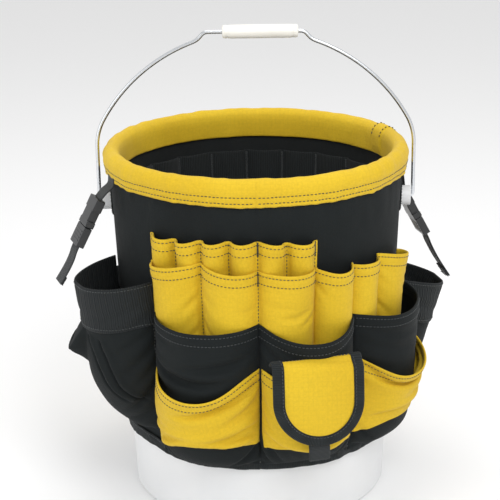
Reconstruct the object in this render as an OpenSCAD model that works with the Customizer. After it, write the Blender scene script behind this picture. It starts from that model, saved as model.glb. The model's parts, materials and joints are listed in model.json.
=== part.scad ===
// Fabric tool organizer worn by a round plastic pail.
// Origin: centre of the pail's base, on the surface it stands on. +Z up, -Y is the front.
// Azimuths are in degrees, 0 at the front and positive towards +X.
// Sewn layers are stacked outwards from the pail wall, each a small gap clear of the last.

/* [Pail] */
// Height of the bare pail
pail_height = 365; // [355:1:372]
// Outside radius of the pail wall at the base
pail_base_r = 133; // [131:0.5:135]
// Outside radius of the pail wall at the rim
pail_top_r = 148; // [146:0.5:149]
// Thickness of the pail wall
pail_wall = 2.3; // [2:0.1:2.8]
// How far the rim bead stands out from the wall
rim_bead = 4.5; // [3.5:0.5:5]

/* [Bail] */
// Radius of the bail wire
wire_r = 2; // [1.8:0.1:2.2]
// Height of the bail pivot above the base
pivot_z = 308; // [306:1:310]
// Distance of each bail leg from the centre plane
leg_x = 161.5; // [161:0.5:164]
// Radius of the bail's round bow
bow_r = 177.5; // [176:0.5:180]
// Length of the hand grip
grip_len = 76; // [60:1:80]
// Outside radius of the hand grip
grip_r = 7; // [6:0.5:9]
// How far the grip has slid along the wire
grip_shift = 6; // [0:1:8]

/* [Fabric] */
// Thickness of the sewn fabric panels
cloth = 1.4; // [1.2:0.1:1.6]
// Clear gap between layers
gap = 0.3; // [0.2:0.1:0.4]
// Height of the wrap's lower edge
hem_z = 66; // [50:1:70]
// Height of the cuff's lower edge
cuff_z = 343; // [340:1:346]

/* [Pockets] */
// Width of one pocket column, in degrees
column = 21.2; // [21:0.1:21.2]
// Seams to the right of the middle columns, in degrees
right_seams = [37.6, 51.6, 71, 84.8];
// Top of the narrow slots
slot_top = 311; // [305:1:316]
// Top of the middle tool pockets
tool_top = 280; // [274:1:284]
// Top of the black pockets
black_top = 227; // [222:1:230]
// Top of the parts pockets
parts_top = 184; // [176:1:190]
// Height of the parts pockets' floor
parts_floor = 84; // [80:1:90]

/* [Flap] */
// Width of the pocket flap
flap_w = 91; // [84:1:94]
// Length of the pocket flap
flap_len = 99; // [92:1:102]
// Width of the flap's binding
binding_w = 10; // [8:1:12]

/* [Straps] */
// Width of the strap webbing
web_w = 20; // [18:1:22]
// Thickness of the strap webbing
web_t = 1.6; // [1.4:0.1:2]

/* [Hidden] */

$fn = 96;
yellow = [0.93, 0.78, 0.13];
black = [0.11, 0.13, 0.13];
webbing = [0.16, 0.17, 0.17];
pail_white = [0.90, 0.90, 0.89];
zinc = [0.72, 0.73, 0.75];
buckle_black = [0.07, 0.07, 0.07];
over = 5;                 // how far a cutter runs past what it cuts
run_gap = 0.05;           // running clearance round the bail wire
bow_drop = 4.5;           // how far the centre of the bail's bow lies below the pivot
seam = 0.5;               // width of a sewn pocket side, in degrees
wrap_back = gap;          // offsets are measured outwards from the pail wall
wrap_face = wrap_back + 1.5;
first_back = wrap_face + gap;
liner_face = -pail_wall - gap - 1.3;
elastic_t = 1.2;

// Offsets of each tier's outer face at its floor and its top.
slot_floor = 240;
slot_out = 12;
tool_floor = 168;
tool_out = [20, 23.5];
marker_out = [19, 24];
flashlight_out = [18, 20];
tool_step = slot_floor - 2;
black_floor = hem_z + 8;
black_step = tool_floor - 2;
black_out_left = [26, 34];
black_out_centre = [26, 36];
black_out_right = [27, 38];
parts_out_left = [40, 52];
parts_out_right = [45, 61];
parts_top_right = 166;

// Straps: [azimuth, radius and height where the socket starts, lean outwards, tail length]
strap_top = [153.6, 338];
strap_left = [-70, 167, 326, 28.5, 50];
strap_right = [105, 160.5, 299, 28.6, 66];
socket_len = 30;
socket_t = 9;
prong_base = 22;
prong_len = 22;

// Flap and its pocket: flat pieces across the front of one double column.
flap_az = 17.5; // [17:0.1:21.2]
pouch_front = 186;
pouch_w = 88;
pouch_top = 176;
flap_back = pouch_front + 1.9;
flap_top_z = 201;
flap_t = 1.8;
hinge_d = 180.5;

function pail_r(z) = pail_base_r + z * (pail_top_r - pail_base_r) / pail_height;
function mix(a, b, t) = a + (b - a) * t;
// Radius at height z of a face whose offset runs from out[0] at z0 to out[1] at z1.
function face_r(out, z0, z1, z) = pail_r(z) + mix(out[0], out[1], (z - z0) / (z1 - z0));

// ---------- shared shapes ----------

// A slice of a turned profile between two azimuths.
module sector(a0, a1) {
    rotate([0, 0, a0 - 90]) rotate_extrude(angle = a1 - a0) children();
}

// A full conical band: offsets off0 to off1 from the wall, between two heights.
module wall_band(off0, off1, z0, z1) {
    rotate_extrude() polygon([[pail_r(z0) + off0, z0], [pail_r(z0) + off1, z0],
                              [pail_r(z1) + off1, z1], [pail_r(z1) + off0, z1]]);
}

// A row of open pockets sewn at the azimuths in edges. Each has a front, two sides and a floor.
// back0 and back1 are the radii behind it below and above the height step.
module pocket_row(edges, z0, z1, out, back0, back1, step) {
    last = len(edges) - 1;
    floor_z = z0 + cloth;
    top_z = z1 + over;
    difference() {
        sector(edges[0] + 0.1, edges[last] - 0.1)
            polygon([[back0(z0), z0], [face_r(out, z0, z1, z0), z0], [face_r(out, z0, z1, z1), z1],
                     [back1(z1), z1], [back1(step), step], [back0(step), step]]);
        for (i = [0 : last - 1])
            sector(edges[i] + seam, edges[i + 1] - seam)
                polygon([[pail_r(floor_z) - over, floor_z],
                         [face_r(out, z0, z1, floor_z) - cloth, floor_z],
                         [face_r(out, z0, z1, top_z) - cloth, top_z],
                         [pail_r(top_z) - over, top_z]]);
    }
}

// A round cut that lets a pocket's top edge sag, its lowest point at azimuth a and height z.
module sag_cut(a, z, r) {
    rotate([0, 0, a]) translate([0, -120, z + r]) rotate([90, 0, 0]) cylinder(r = r, h = 100);
}

// Children drawn flat, stood up facing azimuth a with their back at distance d.
module facing(a, d) {
    rotate([0, 0, a]) translate([0, -d, 0]) rotate([90, 0, 0]) children();
}

// A tapered pouch sewn to the wrap at azimuth a; draws the part between two heights.
module pouch_part(a, centre, r0, r1, z0, z1, cut0, cut1, wall, floor_t) {
    slope = (r1 - r0) / (z1 - z0);
    rc0 = r0 + slope * (cut0 - z0);
    rc1 = r0 + slope * (cut1 - z0);
    in0 = cut0 + floor_t;
    in1 = cut1 + over;
    difference() {
        rotate([0, 0, a]) translate([0, -centre, cut0]) cylinder(h = cut1 - cut0, r1 = rc0, r2 = rc1);
        rotate([0, 0, a]) translate([0, -centre, in0])
            cylinder(h = in1 - in0, r1 = r0 + slope * (in0 - z0) - wall,
                     r2 = r0 + slope * (in1 - z0) - wall);
        translate([0, 0, cut0 - over])
            cylinder(h = cut1 - cut0 + 2 * over, r1 = pail_r(cut0 - over) + first_back,
                     r2 = pail_r(cut1 + over) + first_back);
    }
}

// ---------- pail and bail ----------

module ear_axis(r, x0, x1) {
    translate([0, 0, pivot_z]) rotate([0, 90, 0]) translate([0, 0, x0]) cylinder(r = r, h = x1 - x0);
}

module pail_shell() {
    inner_base = pail_base_r - pail_wall;
    color(pail_white) difference() {
        union() {
            rotate_extrude() polygon([
                [0, 0], [pail_base_r - 3, 0], [pail_r(3), 3], [pail_r(pail_height - 9), pail_height - 9],
                [pail_top_r + rim_bead, pail_height - 7], [pail_top_r + rim_bead, pail_height - 2],
                [pail_top_r + rim_bead - 2, pail_height], [pail_top_r - pail_wall, pail_height],
                [pail_r(4) - pail_wall, 4], [inner_base - 6, 2.5], [0, 2.5]]);
            for (side = [0, 1]) mirror([side, 0, 0]) difference() {
                ear_axis(10, pail_top_r - 8, leg_x - 3);
                translate([0, 0, 1]) cylinder(h = pail_height, r = pail_r(pivot_z) - pail_wall / 2);
            }
        }
        for (side = [0, 1]) mirror([side, 0, 0]) ear_axis(wire_r + run_gap, pail_r(pivot_z) + 1, leg_x);
    }
}

// One half of the bail: pin, leg, bow and the cranked end of the grip stretch.
module bail_half() {
    bow_z = pivot_z - bow_drop;
    bow_end = 71;
    bow_start = acos(leg_x / bow_r);
    shoulder = [bow_r * cos(bow_end), bow_z + bow_r * sin(bow_end)];
    top = [50, bow_z + bow_r - 1];
    crank = [shoulder[0] - top[0], top[1] - shoulder[1]];
    translate([0, 0, pivot_z]) rotate([0, 90, 0]) translate([0, 0, pail_r(pivot_z) + 3])
        cylinder(r = wire_r, h = leg_x - pail_r(pivot_z) - 3);
    translate([leg_x, 0, pivot_z]) sphere(r = wire_r + 0.02);
    translate([leg_x, 0, pivot_z]) cylinder(r = wire_r, h = bow_z + bow_r * sin(bow_start) - pivot_z);
    translate([leg_x, 0, bow_z + bow_r * sin(bow_start)]) sphere(r = wire_r + 0.02);
    translate([0, 0, bow_z]) rotate([90, 0, 0]) rotate([0, 0, bow_start])
        rotate_extrude(angle = bow_end - bow_start) translate([bow_r, 0]) circle(r = wire_r);
    translate([shoulder[0], 0, shoulder[1]]) sphere(r = wire_r + 0.02);
    translate([shoulder[0], 0, shoulder[1]]) rotate([0, -atan2(crank[0], crank[1]), 0])
        cylinder(r = wire_r, h = norm(crank));
    translate([top[0], 0, top[1]]) sphere(r = wire_r + 0.02);
}

module bail_wire() {
    top_z = pivot_z - bow_drop + bow_r - 1;
    color(zinc) union() {
        for (side = [0, 1]) mirror([side, 0, 0]) bail_half();
        translate([-50, 0, top_z]) rotate([0, 90, 0]) cylinder(r = wire_r, h = 100);
    }
}

module bail_grip() {
    top_z = pivot_z - bow_drop + bow_r - 1;
    color("whitesmoke") translate([grip_shift - grip_len / 2, 0, top_z]) rotate([0, 90, 0])
        rotate_extrude() polygon([
            [wire_r + run_gap, 0], [grip_r - 1.5, 0], [grip_r, 1.5], [grip_r, grip_len - 1.5],
            [grip_r - 1.5, grip_len], [wire_r + run_gap, grip_len]]);
}

// ---------- the wrap, cuff and liner ----------

module ear_slots() {
    for (side = [0, 1]) mirror([side, 0, 0]) ear_axis(10.6, pail_base_r, leg_x + over);
}

module rim_cuff() {
    bead_r = pail_top_r + rim_bead;
    roll_z = pail_height - 4;
    roll_in = pail_r(roll_z) + liner_face - gap - 2.4;
    roll_out = bead_r + gap + 2.6;
    mid_r = (roll_in + roll_out) / 2;
    low_z = cuff_z - 4;
    cut_z = low_z - over;
    color(yellow) rotate_extrude() difference() {
        union() {
            translate([mid_r, roll_z]) circle(r = mid_r - roll_in);
            polygon([[pail_r(cuff_z) + first_back, cuff_z], [pail_r(cuff_z) + first_back + 2.4, cuff_z],
                     [roll_out, roll_z], [roll_in, roll_z],
                     [pail_r(low_z) + liner_face - gap - 2.2, low_z],
                     [pail_r(low_z) + liner_face - gap, low_z]]);
        }
        polygon([[pail_r(cut_z) + first_back, cut_z],
                 [pail_r(pail_height - 11) + first_back, pail_height - 11],
                 [bead_r + gap, pail_height - 7.5], [bead_r + gap, pail_height - 1.5],
                 [bead_r - 1.5, pail_height + gap], [pail_top_r - pail_wall - 0.5, pail_height + gap],
                 [pail_r(pail_height - 7) + liner_face - gap, pail_height - 7],
                 [pail_r(cut_z) + liner_face - gap, cut_z]]);
    }
}

module outer_wrap() {
    color(black) difference() {
        wall_band(wrap_back, wrap_face, hem_z + 1, pail_height - 12);
        ear_slots();
    }
}

module hem_binding() {
    color(black) wall_band(first_back, first_back + 2.4, hem_z - 2, hem_z + 7);
}

module inner_liner() {
    color(black) wall_band(liner_face, -pail_wall - gap, 120, pail_height - 8);
}

module inner_elastic_upper() {
    outer = liner_face - gap;
    color(webbing) wall_band(outer - elastic_t, outer, 288, 322);
}

module inner_pocket_panel() {
    outer = liner_face - gap;
    color(black) wall_band(outer - elastic_t, outer, 150, 276);
}

module inner_elastic_lower() {
    outer = liner_face - 2 * gap - elastic_t;
    color(webbing) wall_band(outer - elastic_t, outer, 236, 270);
}

// ---------- front pockets ----------

function wrap_r(z) = pail_r(z) + first_back;

module slot_row_front() {
    edges = [for (i = [-4 : 2]) i * column / 2];
    color(yellow) pocket_row(edges, slot_floor, slot_top, [slot_out, slot_out],
                             function(z) wrap_r(z), function(z) wrap_r(z), slot_floor + 20);
}

module tool_pockets_front() {
    color(yellow) pocket_row([-2 * column, -column, 0, column], tool_floor, tool_top, tool_out,
                             function(z) wrap_r(z), function(z) pail_r(z) + slot_out + gap, tool_step);
}

module screwdriver_pocket() {
    color(yellow) pocket_row([column, right_seams[0]], tool_floor, tool_top - 3, tool_out,
                             function(z) wrap_r(z), function(z) wrap_r(z), tool_step);
}

module flashlight_pocket() {
    color(yellow) pocket_row([right_seams[0], right_seams[1]], tool_floor, tool_top - 9, flashlight_out,
                             function(z) wrap_r(z), function(z) wrap_r(z), tool_step);
}

module marker_pocket() {
    color(yellow) pocket_row([right_seams[1], right_seams[2]], tool_floor, tool_top - 12, marker_out,
                             function(z) wrap_r(z), function(z) wrap_r(z), tool_step);
}

module black_pocket_left() {
    color(black) pocket_row([-2 * column, 0], black_floor, black_top, black_out_left,
                            function(z) wrap_r(z), function(z) pail_r(z) + tool_out[1] + gap, black_step);
}

module black_pocket_centre() {
    color(black) difference() {
        pocket_row([0, right_seams[0]], black_floor, black_top - 4, black_out_centre,
                   function(z) wrap_r(z), function(z) pail_r(z) + tool_out[1] + gap, black_step);
        sag_cut(right_seams[0] / 2, black_top - 16, 150);
    }
}

module black_pocket_right() {
    color(black) pocket_row([right_seams[0], right_seams[3]], black_floor, black_top - 9, black_out_right,
                            function(z) wrap_r(z), function(z) pail_r(z) + marker_out[1] + gap, black_step);
}

module parts_pocket_left() {
    color(yellow) difference() {
        pocket_row([-2 * column, 0], parts_floor, parts_top, parts_out_left,
                   function(z) face_r(black_out_left, black_floor, black_top, z) + gap,
                   function(z) face_r(black_out_left, black_floor, black_top, z) + gap, parts_floor + 20);
        sag_cut(-1.4 * column, 152, 70);
    }
}

module parts_pocket_right() {
    color(yellow) difference() {
        pocket_row([right_seams[0], right_seams[3]], parts_floor, parts_top_right, parts_out_right,
                   function(z) face_r(black_out_right, black_floor, black_top - 9, z) + gap,
                   function(z) face_r(black_out_right, black_floor, black_top - 9, z) + gap, parts_floor + 20);
        sag_cut(62, 151, 110);
    }
}

// ---------- the pocket with a flap ----------

module flap_pocket() {
    back = function(z) face_r(black_out_centre, black_floor, black_top - 4, z) + gap;
    color(yellow) difference() {
        rotate([0, 0, flap_az]) translate([-pouch_w / 2, -pouch_front, parts_floor])
            cube([pouch_w, 60, pouch_top - parts_floor]);
        rotate([0, 0, flap_az]) translate([-pouch_w / 2 + cloth, -pouch_front + cloth, parts_floor + cloth])
            cube([pouch_w - 2 * cloth, 60, pouch_top]);
        translate([0, 0, parts_floor - over])
            cylinder(h = pouch_top - parts_floor + 2 * over, r1 = back(parts_floor - over),
                     r2 = back(pouch_top + over));
    }
}

module loop_patch() {
    color(webbing) facing(flap_az, pouch_front + 0.1) translate([-12, flap_top_z - flap_len + 14])
        linear_extrude(0.7) square([24, 24]);
}

module flap_hook_patch() {
    color(webbing) facing(flap_az, flap_back - 0.8) translate([-12, flap_top_z - flap_len + 14])
        linear_extrude(0.7) square([24, 24]);
}

// The flap's outline: straight sides and a round end, drawn inset from the edge.
module flap_outline(inset) {
    r = flap_w / 2;
    union() {
        translate([0, flap_top_z - flap_len + r]) circle(r = r - inset);
        translate([-r + inset, flap_top_z - flap_len + r]) square([2 * (r - inset), flap_len - r]);
    }
}

module flap_panel() {
    color(yellow) union() {
        facing(flap_az, flap_back) linear_extrude(flap_t) flap_outline(binding_w + 0.1);
        rotate([0, 0, flap_az])
            translate([-flap_w / 2 + binding_w + 0.1, -flap_back - flap_t, flap_top_z - flap_t])
            cube([flap_w - 2 * binding_w - 0.2, flap_back + flap_t - hinge_d, flap_t]);
    }
}

module flap_binding() {
    color(black) union() {
        facing(flap_az, flap_back) linear_extrude(flap_t + 0.6) difference() {
            flap_outline(0);
            flap_outline(binding_w);
        }
        for (side = [0, 1]) rotate([0, 0, flap_az]) mirror([side, 0, 0])
            translate([flap_w / 2 - binding_w, -flap_back - flap_t, flap_top_z - flap_t])
            cube([binding_w, flap_back + flap_t - hinge_d, flap_t + 0.6]);
    }
}

module flap_pull_tab() {
    color(webbing) facing(flap_az, flap_back + 0.4) translate([-web_w / 2, flap_top_z - flap_len - 16])
        linear_extrude(web_t) square([web_w, 15.9]);
}

// ---------- side pouches ----------

left_pouch = [-3 * column, 155, 40, 50, 90, 252];
right_pouch = [105, 153, 42, 50, 90, 216];
rear_pouch = [-5 * column + 0.6, 153, 40, 47, 90, 214];
band_h = 44;

module pouch_body(p) {
    color(black) pouch_part(p[0], p[1], p[2], p[3], p[4], p[5], p[4], p[5] - band_h - 0.2, 1.6, 1.6);
}

module pouch_band(p) {
    color(webbing) pouch_part(p[0], p[1], p[2] + 0.6, p[3] + 0.6, p[4], p[5], p[5] - band_h, p[5], 2.4, -over);
}

module side_pouch_left() { pouch_body(left_pouch); }
module side_pouch_left_band() { pouch_band(left_pouch); }
module side_pouch_right() { pouch_body(right_pouch); }
module side_pouch_right_band() { pouch_band(right_pouch); }
module side_pouch_rear() { pouch_body(rear_pouch); }
module side_pouch_rear_band() { pouch_band(rear_pouch); }

// ---------- rear pockets ----------

rear0 = 6 * column + 1;
rear1 = 11 * column;
rear_mid = (rear0 + rear1) / 2;

module tool_pockets_rear() {
    edges = [for (i = [0 : 4]) mix(rear0, rear1, i / 4)];
    color(yellow) pocket_row(edges, tool_floor, tool_top, tool_out,
                             function(z) wrap_r(z), function(z) wrap_r(z), tool_step);
}

module black_pockets_rear() {
    color(black) pocket_row([rear0, rear_mid, rear1], black_floor, black_top, black_out_left,
                            function(z) wrap_r(z), function(z) pail_r(z) + tool_out[1] + gap, black_step);
}

module parts_pockets_rear() {
    color(yellow) pocket_row([rear0, rear_mid, rear1], parts_floor, parts_top - 20, parts_out_left,
                             function(z) face_r(black_out_left, black_floor, black_top, z) + gap,
                             function(z) face_r(black_out_left, black_floor, black_top, z) + gap,
                             parts_floor + 20);
}

// ---------- straps with side-release buckles ----------

// Children drawn hanging along -Z with -Y outwards, placed at a strap's socket.
module strap_frame(s) {
    rotate([0, 0, s[0]]) translate([0, -s[1], s[2]]) rotate([-s[3], 0, 0]) children();
}

module strap_webbing(s) {
    run = [s[1] - strap_top[0], strap_top[1] - s[2]];
    color(webbing) rotate([0, 0, s[0]]) translate([0, -strap_top[0], strap_top[1]])
        rotate([-atan2(run[0], run[1]), 0, 0])
        translate([-web_w / 2, -web_t / 2, -norm(run) + 0.8]) cube([web_w, web_t, norm(run) - 0.8]);
}

module strap_socket(s) {
    color(buckle_black) strap_frame(s) difference() {
        translate([-13, -socket_t / 2, -socket_len]) cube([26, socket_t, socket_len]);
        translate([-10.5, -3, -socket_len - 1]) cube([21, 6, socket_len - 5]);
        for (side = [-1, 1]) translate([side * 13, 0, -socket_len / 2 - 3])
            cube([4, socket_t + 1, 11], center = true);
    }
}

module strap_prongs(s) {
    color(buckle_black) strap_frame(s) union() {
        translate([-13, -socket_t / 2 + 0.5, -socket_len - prong_base + 0.6])
            cube([26, socket_t - 1, prong_base - 1]);
        for (side = [-1, 1]) translate([side * 7.5, 0, -socket_len + prong_len / 2 - 1])
            cube([4, 4, prong_len], center = true);
        translate([0, 0, -socket_len + prong_len / 2 - 3]) cube([3, 3.4, prong_len - 4], center = true);
    }
}

module strap_tail(s) {
    color(webbing) strap_frame(s)
        translate([-web_w / 2, -web_t / 2, -socket_len - prong_base - s[4]])
        cube([web_w, web_t, s[4] + 0.4]);
}

module strap_left_webbing() { strap_webbing(strap_left); }
module strap_left_socket() { strap_socket(strap_left); }
module strap_left_prongs() { strap_prongs(strap_left); }
module strap_left_tail() { strap_tail(strap_left); }
module strap_right_webbing() { strap_webbing(strap_right); }
module strap_right_socket() { strap_socket(strap_right); }
module strap_right_prongs() { strap_prongs(strap_right); }
module strap_right_tail() { strap_tail(strap_right); }

pail_shell();
rim_cuff();
outer_wrap();
hem_binding();
inner_liner();
inner_elastic_upper();
inner_elastic_lower();
inner_pocket_panel();
slot_row_front();
tool_pockets_front();
screwdriver_pocket();
flashlight_pocket();
marker_pocket();
black_pocket_left();
black_pocket_centre();
black_pocket_right();
parts_pocket_left();
flap_pocket();
loop_patch();
parts_pocket_right();
side_pouch_left();
side_pouch_left_band();
side_pouch_right();
side_pouch_right_band();
side_pouch_rear();
side_pouch_rear_band();
tool_pockets_rear();
black_pockets_rear();
parts_pockets_rear();
bail_wire();
bail_grip();
flap_panel();
flap_binding();
flap_hook_patch();
flap_pull_tab();
strap_left_webbing();
strap_left_socket();
strap_left_prongs();
strap_left_tail();
strap_right_webbing();
strap_right_socket();
strap_right_prongs();
strap_right_tail();
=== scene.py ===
"""Looks for the tool bucket organizer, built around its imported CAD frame.

Sizes are in millimetres until a mesh is made. Azimuths are in degrees, 0 at the front (-Y)
and positive towards +X, and offsets are measured outwards from the pail wall.
"""
import json
import math
import bpy
import numpy as np
from mathutils import Matrix, Vector


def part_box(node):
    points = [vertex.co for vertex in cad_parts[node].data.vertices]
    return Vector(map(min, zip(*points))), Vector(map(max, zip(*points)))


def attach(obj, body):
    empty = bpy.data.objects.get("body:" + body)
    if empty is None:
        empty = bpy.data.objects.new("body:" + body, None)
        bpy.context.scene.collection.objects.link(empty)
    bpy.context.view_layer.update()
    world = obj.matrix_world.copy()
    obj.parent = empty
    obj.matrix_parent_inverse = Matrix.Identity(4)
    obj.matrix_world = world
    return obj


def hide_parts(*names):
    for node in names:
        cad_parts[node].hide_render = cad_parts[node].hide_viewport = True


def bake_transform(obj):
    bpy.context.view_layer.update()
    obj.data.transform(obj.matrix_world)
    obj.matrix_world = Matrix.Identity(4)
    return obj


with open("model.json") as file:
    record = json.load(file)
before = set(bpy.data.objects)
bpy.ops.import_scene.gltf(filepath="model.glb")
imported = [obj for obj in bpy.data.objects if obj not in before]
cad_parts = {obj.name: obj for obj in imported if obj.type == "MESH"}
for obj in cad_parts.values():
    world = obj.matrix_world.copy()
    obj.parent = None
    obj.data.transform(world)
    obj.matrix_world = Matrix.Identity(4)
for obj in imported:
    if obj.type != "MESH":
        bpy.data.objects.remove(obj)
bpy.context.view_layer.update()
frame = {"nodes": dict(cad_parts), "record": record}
MM = 0.001


# ---------- driving sizes, read from the frame ----------

def span(node, axis):
    """A node's lowest and highest coordinate along one axis."""
    low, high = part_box(node)
    return low[axis] / MM, high[axis] / MM


def ring_radius(node, z):
    """The largest radius among a node's vertices at about height z."""
    verts = np.array([v.co for v in frame["nodes"][node].data.vertices]) / MM
    near = verts[np.abs(verts[:, 2] - z) < 0.7]
    return float(np.hypot(near[:, 0], near[:, 1]).max())


PAIL_H = span("pail_shell", 2)[1]
RIM_R = span("pail_shell", 1)[1]
WALL_Z0 = 3.0                              # the wall is straight between these two heights
WALL_Z1 = PAIL_H - 9.0
WALL_R0 = ring_radius("pail_shell", WALL_Z0)
WALL_R1 = WALL_R0 + (WALL_Z1 - WALL_Z0) * (RIM_R - 4.5 - WALL_R0) / (PAIL_H - WALL_Z0)
WRAP_FACE = 2.1                            # outer face of the wrap, off the wall
LINER_OUT = -2.7                           # outer face of the liner, off the wall
COLUMN = 21.2                              # width of one pocket column
RIGHT = (37.6, 51.6, 71.0, 84.8)           # seams right of the middle columns
CUFF_LOW = span("rim_cuff", 2)[0] + 4.0    # the cuff's outer lower edge
CUFF_TOP = span("rim_cuff", 2)[1]
CUFF_OUT = span("rim_cuff", 1)[1]
HEM_Z = span("hem_binding", 2)[0] + 2.0
CLOTH = 1.3                                # thickness of a sewn panel
CELL = 3.0                                 # cloth grid while it settles


def wall_r(z):
    return WALL_R0 + (np.asarray(z, float) - WALL_Z0) * (WALL_R1 - WALL_R0) / (WALL_Z1 - WALL_Z0)


def at(az, r, z):
    """Points at azimuth az, radius r and height z."""
    az, r, z = np.broadcast_arrays(np.asarray(az, float), np.asarray(r, float), np.asarray(z, float))
    a = np.radians(az)
    return np.stack([r * np.sin(a), -r * np.cos(a), z], axis=-1)


def polar(p):
    return np.degrees(np.arctan2(p[..., 0], -p[..., 1])), np.hypot(p[..., 0], p[..., 1]), p[..., 2]


def smooth(t):
    t = np.clip(t, 0, 1)
    return t * t * (3 - 2 * t)


def unit(v):
    return v / (np.linalg.norm(v, axis=-1, keepdims=True) + 1e-9)


def along_line(line):
    """Distance along a line of points, from its start."""
    return np.concatenate([[0], np.cumsum(np.linalg.norm(np.diff(line, axis=0), axis=1))])


def waves(x, seed, low, high, count=6):
    """A smooth random curve of x, with count sine terms between two frequencies, from -1 to 1."""
    draw = np.random.default_rng(seed)
    total = 0
    for f, phase in zip(draw.uniform(low, high, count), draw.uniform(0, 2 * math.pi, count)):
        total = total + np.sin(f * x + phase)
    return total / count ** 0.5 / 1.6


def soft_noise(shape, seed, rows, cols, ring=False):
    """Random numbers on a grid smoothed over about so many rows and columns, with a spread of 1."""
    a = np.random.default_rng(seed).normal(size=shape)
    for axis, reach in ((0, rows), (1, cols)):
        width = max(1, round(reach))
        kernel = np.hanning(2 * width + 3)
        kernel /= kernel.sum()
        pad = [(0, 0), (0, 0)]
        pad[axis] = (width + 1, width + 1)
        a = np.pad(a, pad, mode="wrap" if ring and axis == 1 else "edge")
        a = np.apply_along_axis(np.convolve, axis, a, kernel, "valid")
    return a / (a.std() + 1e-9)


# ---------- the height of everything sewn on so far ----------

AZ_STEP, Z_STEP, Z_BASE = 0.5, 2.0, 36.0
AZ_COUNT = round(360 / AZ_STEP)
_zs = np.arange(Z_BASE, PAIL_H + 12, Z_STEP)
relief = np.tile(wall_r(_zs) + WRAP_FACE, (AZ_COUNT, 1))


def relief_at(az, z):
    """Radius of the outermost layer so far, at each azimuth and height."""
    u = (np.asarray(az, float) % 360) / AZ_STEP
    v = np.clip((np.asarray(z, float) - Z_BASE) / Z_STEP, 0, len(_zs) - 1.001)
    i = np.floor(u).astype(int)
    j = np.floor(v).astype(int)
    fu, fv = u - i, v - j
    k = (i + 1) % AZ_COUNT
    i = i % AZ_COUNT
    a, b = relief[i, j], relief[k, j]
    c, d = relief[i, j + 1], relief[k, j + 1]
    return (a * (1 - fu) + b * fu) * (1 - fv) + (c * (1 - fu) + d * fu) * fv


def cover(points):
    """Raises the relief to a finished outer surface."""
    az, r, z = polar(refine(refine(points, 0), 1).reshape(-1, 3))
    i = np.round(az / AZ_STEP).astype(int) % AZ_COUNT
    j = np.round((z - Z_BASE) / Z_STEP).astype(int)
    ok = (j >= 0) & (j < len(_zs))
    np.maximum.at(relief, (i[ok], j[ok]), r[ok])


# ---------- cloth ----------

def pull(p, w, a, b, rest, stiff):
    """Moves pairs of points towards their rest distance. a and b are slices of the grid."""
    d = p[b] - p[a]
    length = np.sqrt((d * d).sum(-1)) + 1e-9
    share = w[a] + w[b] + 1e-9
    d *= (stiff * (length - rest) / length / share)[..., None]
    p[a] += w[a][..., None] * d
    p[b] -= w[b][..., None] * d


def joins(n, m, dr, dc, row_step, col_step):
    """Grid slices (a, b) where b is dr rows and dc columns on from a, in groups with no shared point."""
    left = max(0, -dc)
    for r0 in range(row_step):
        for c0 in range(col_step):
            a = (slice(r0, n - dr, row_step), slice(c0 + left, m - max(0, dc), col_step))
            b = (slice(r0 + dr, n, row_step), slice(c0 + left + dc, m + min(0, dc), col_step))
            yield a, b


def face_normals(p, wrap=False):
    """Unit normals of a grid, for u running towards +azimuth and v running up: outwards."""
    if wrap:
        du = np.roll(p, -1, 1) - np.roll(p, 1, 1)
    else:
        du = np.gradient(p, axis=1)
    dv = np.gradient(p, axis=0)
    return unit(np.cross(du, dv))


def settle(p, flat_u, flat_v, free, push, weight, low, high, steps=150, passes=5, bend=0.25):
    """Relaxes a grid of cloth cut to flat_u by flat_v cells, pushed outwards, under its own weight.

    free is 0 where the cloth is sewn down. low and high give the radius the cloth keeps within."""
    n, m = p.shape[:2]
    cell_u = (flat_u[:-1] + flat_u[1:]) / 2
    cell_v = (flat_v[:, :-1] + flat_v[:, 1:]) / 2
    diagonal = np.hypot(cell_u, cell_v)
    slanted = np.pad(diagonal, ((0, 0), (1, 0)))
    ties = [(0, 1, 1, 2, flat_u, 1.0), (1, 0, 2, 1, flat_v, 1.0),
            (1, 1, 2, 1, diagonal, 0.4), (1, -1, 2, 1, slanted, 0.4),
            (0, 2, 1, 4, flat_u[:, :-1] + flat_u[:, 1:], bend),
            (2, 0, 4, 1, flat_v[:-1] + flat_v[1:], bend)]
    work = []
    for dr, dc, row_step, col_step, rest, stiff in ties:
        for a, b in joins(n, m, dr, dc, row_step, col_step):
            work.append((a, b, rest[a], stiff))
    before = p.copy()
    for _ in range(steps):
        speed = (p - before) * 0.9
        before = p.copy()
        normal = face_normals(p)
        p += free[..., None] * (speed + push[..., None] * normal)
        p[..., 2] -= free * weight
        for _ in range(passes):
            for a, b, rest, stiff in work:
                pull(p, free, a, b, rest, stiff)
        az, r, z = polar(p)
        r_new = np.clip(r, low(az, z), high(az, z))
        scale = np.where(free > 0, r_new / r, 1)
        p[..., :2] *= scale[..., None]
    return p


def refine(p, axis):
    """Adds smooth midpoints along one axis."""
    p = np.moveaxis(p, axis, 0)
    before = np.concatenate([2 * p[:1] - p[1:2], p[:-2]])
    after = np.concatenate([p[2:], 2 * p[-1:] - p[-2:-1]])
    middle = (9 * (p[:-1] + p[1:]) - before - after) / 16
    out = np.empty((2 * len(p) - 1,) + p.shape[1:])
    out[0::2] = p
    out[1::2] = middle
    return np.moveaxis(out, 0, axis)


def cumulative(flat, axis):
    """Running length along one axis of a grid, from its flat cell sizes."""
    zero = np.zeros_like(np.take(flat, [0], axis))
    return np.concatenate([zero, np.cumsum(flat, axis)], axis)


def stand_for(node):
    """Hides a CAD node, so that a piece can take its place."""
    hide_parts(node)


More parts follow.
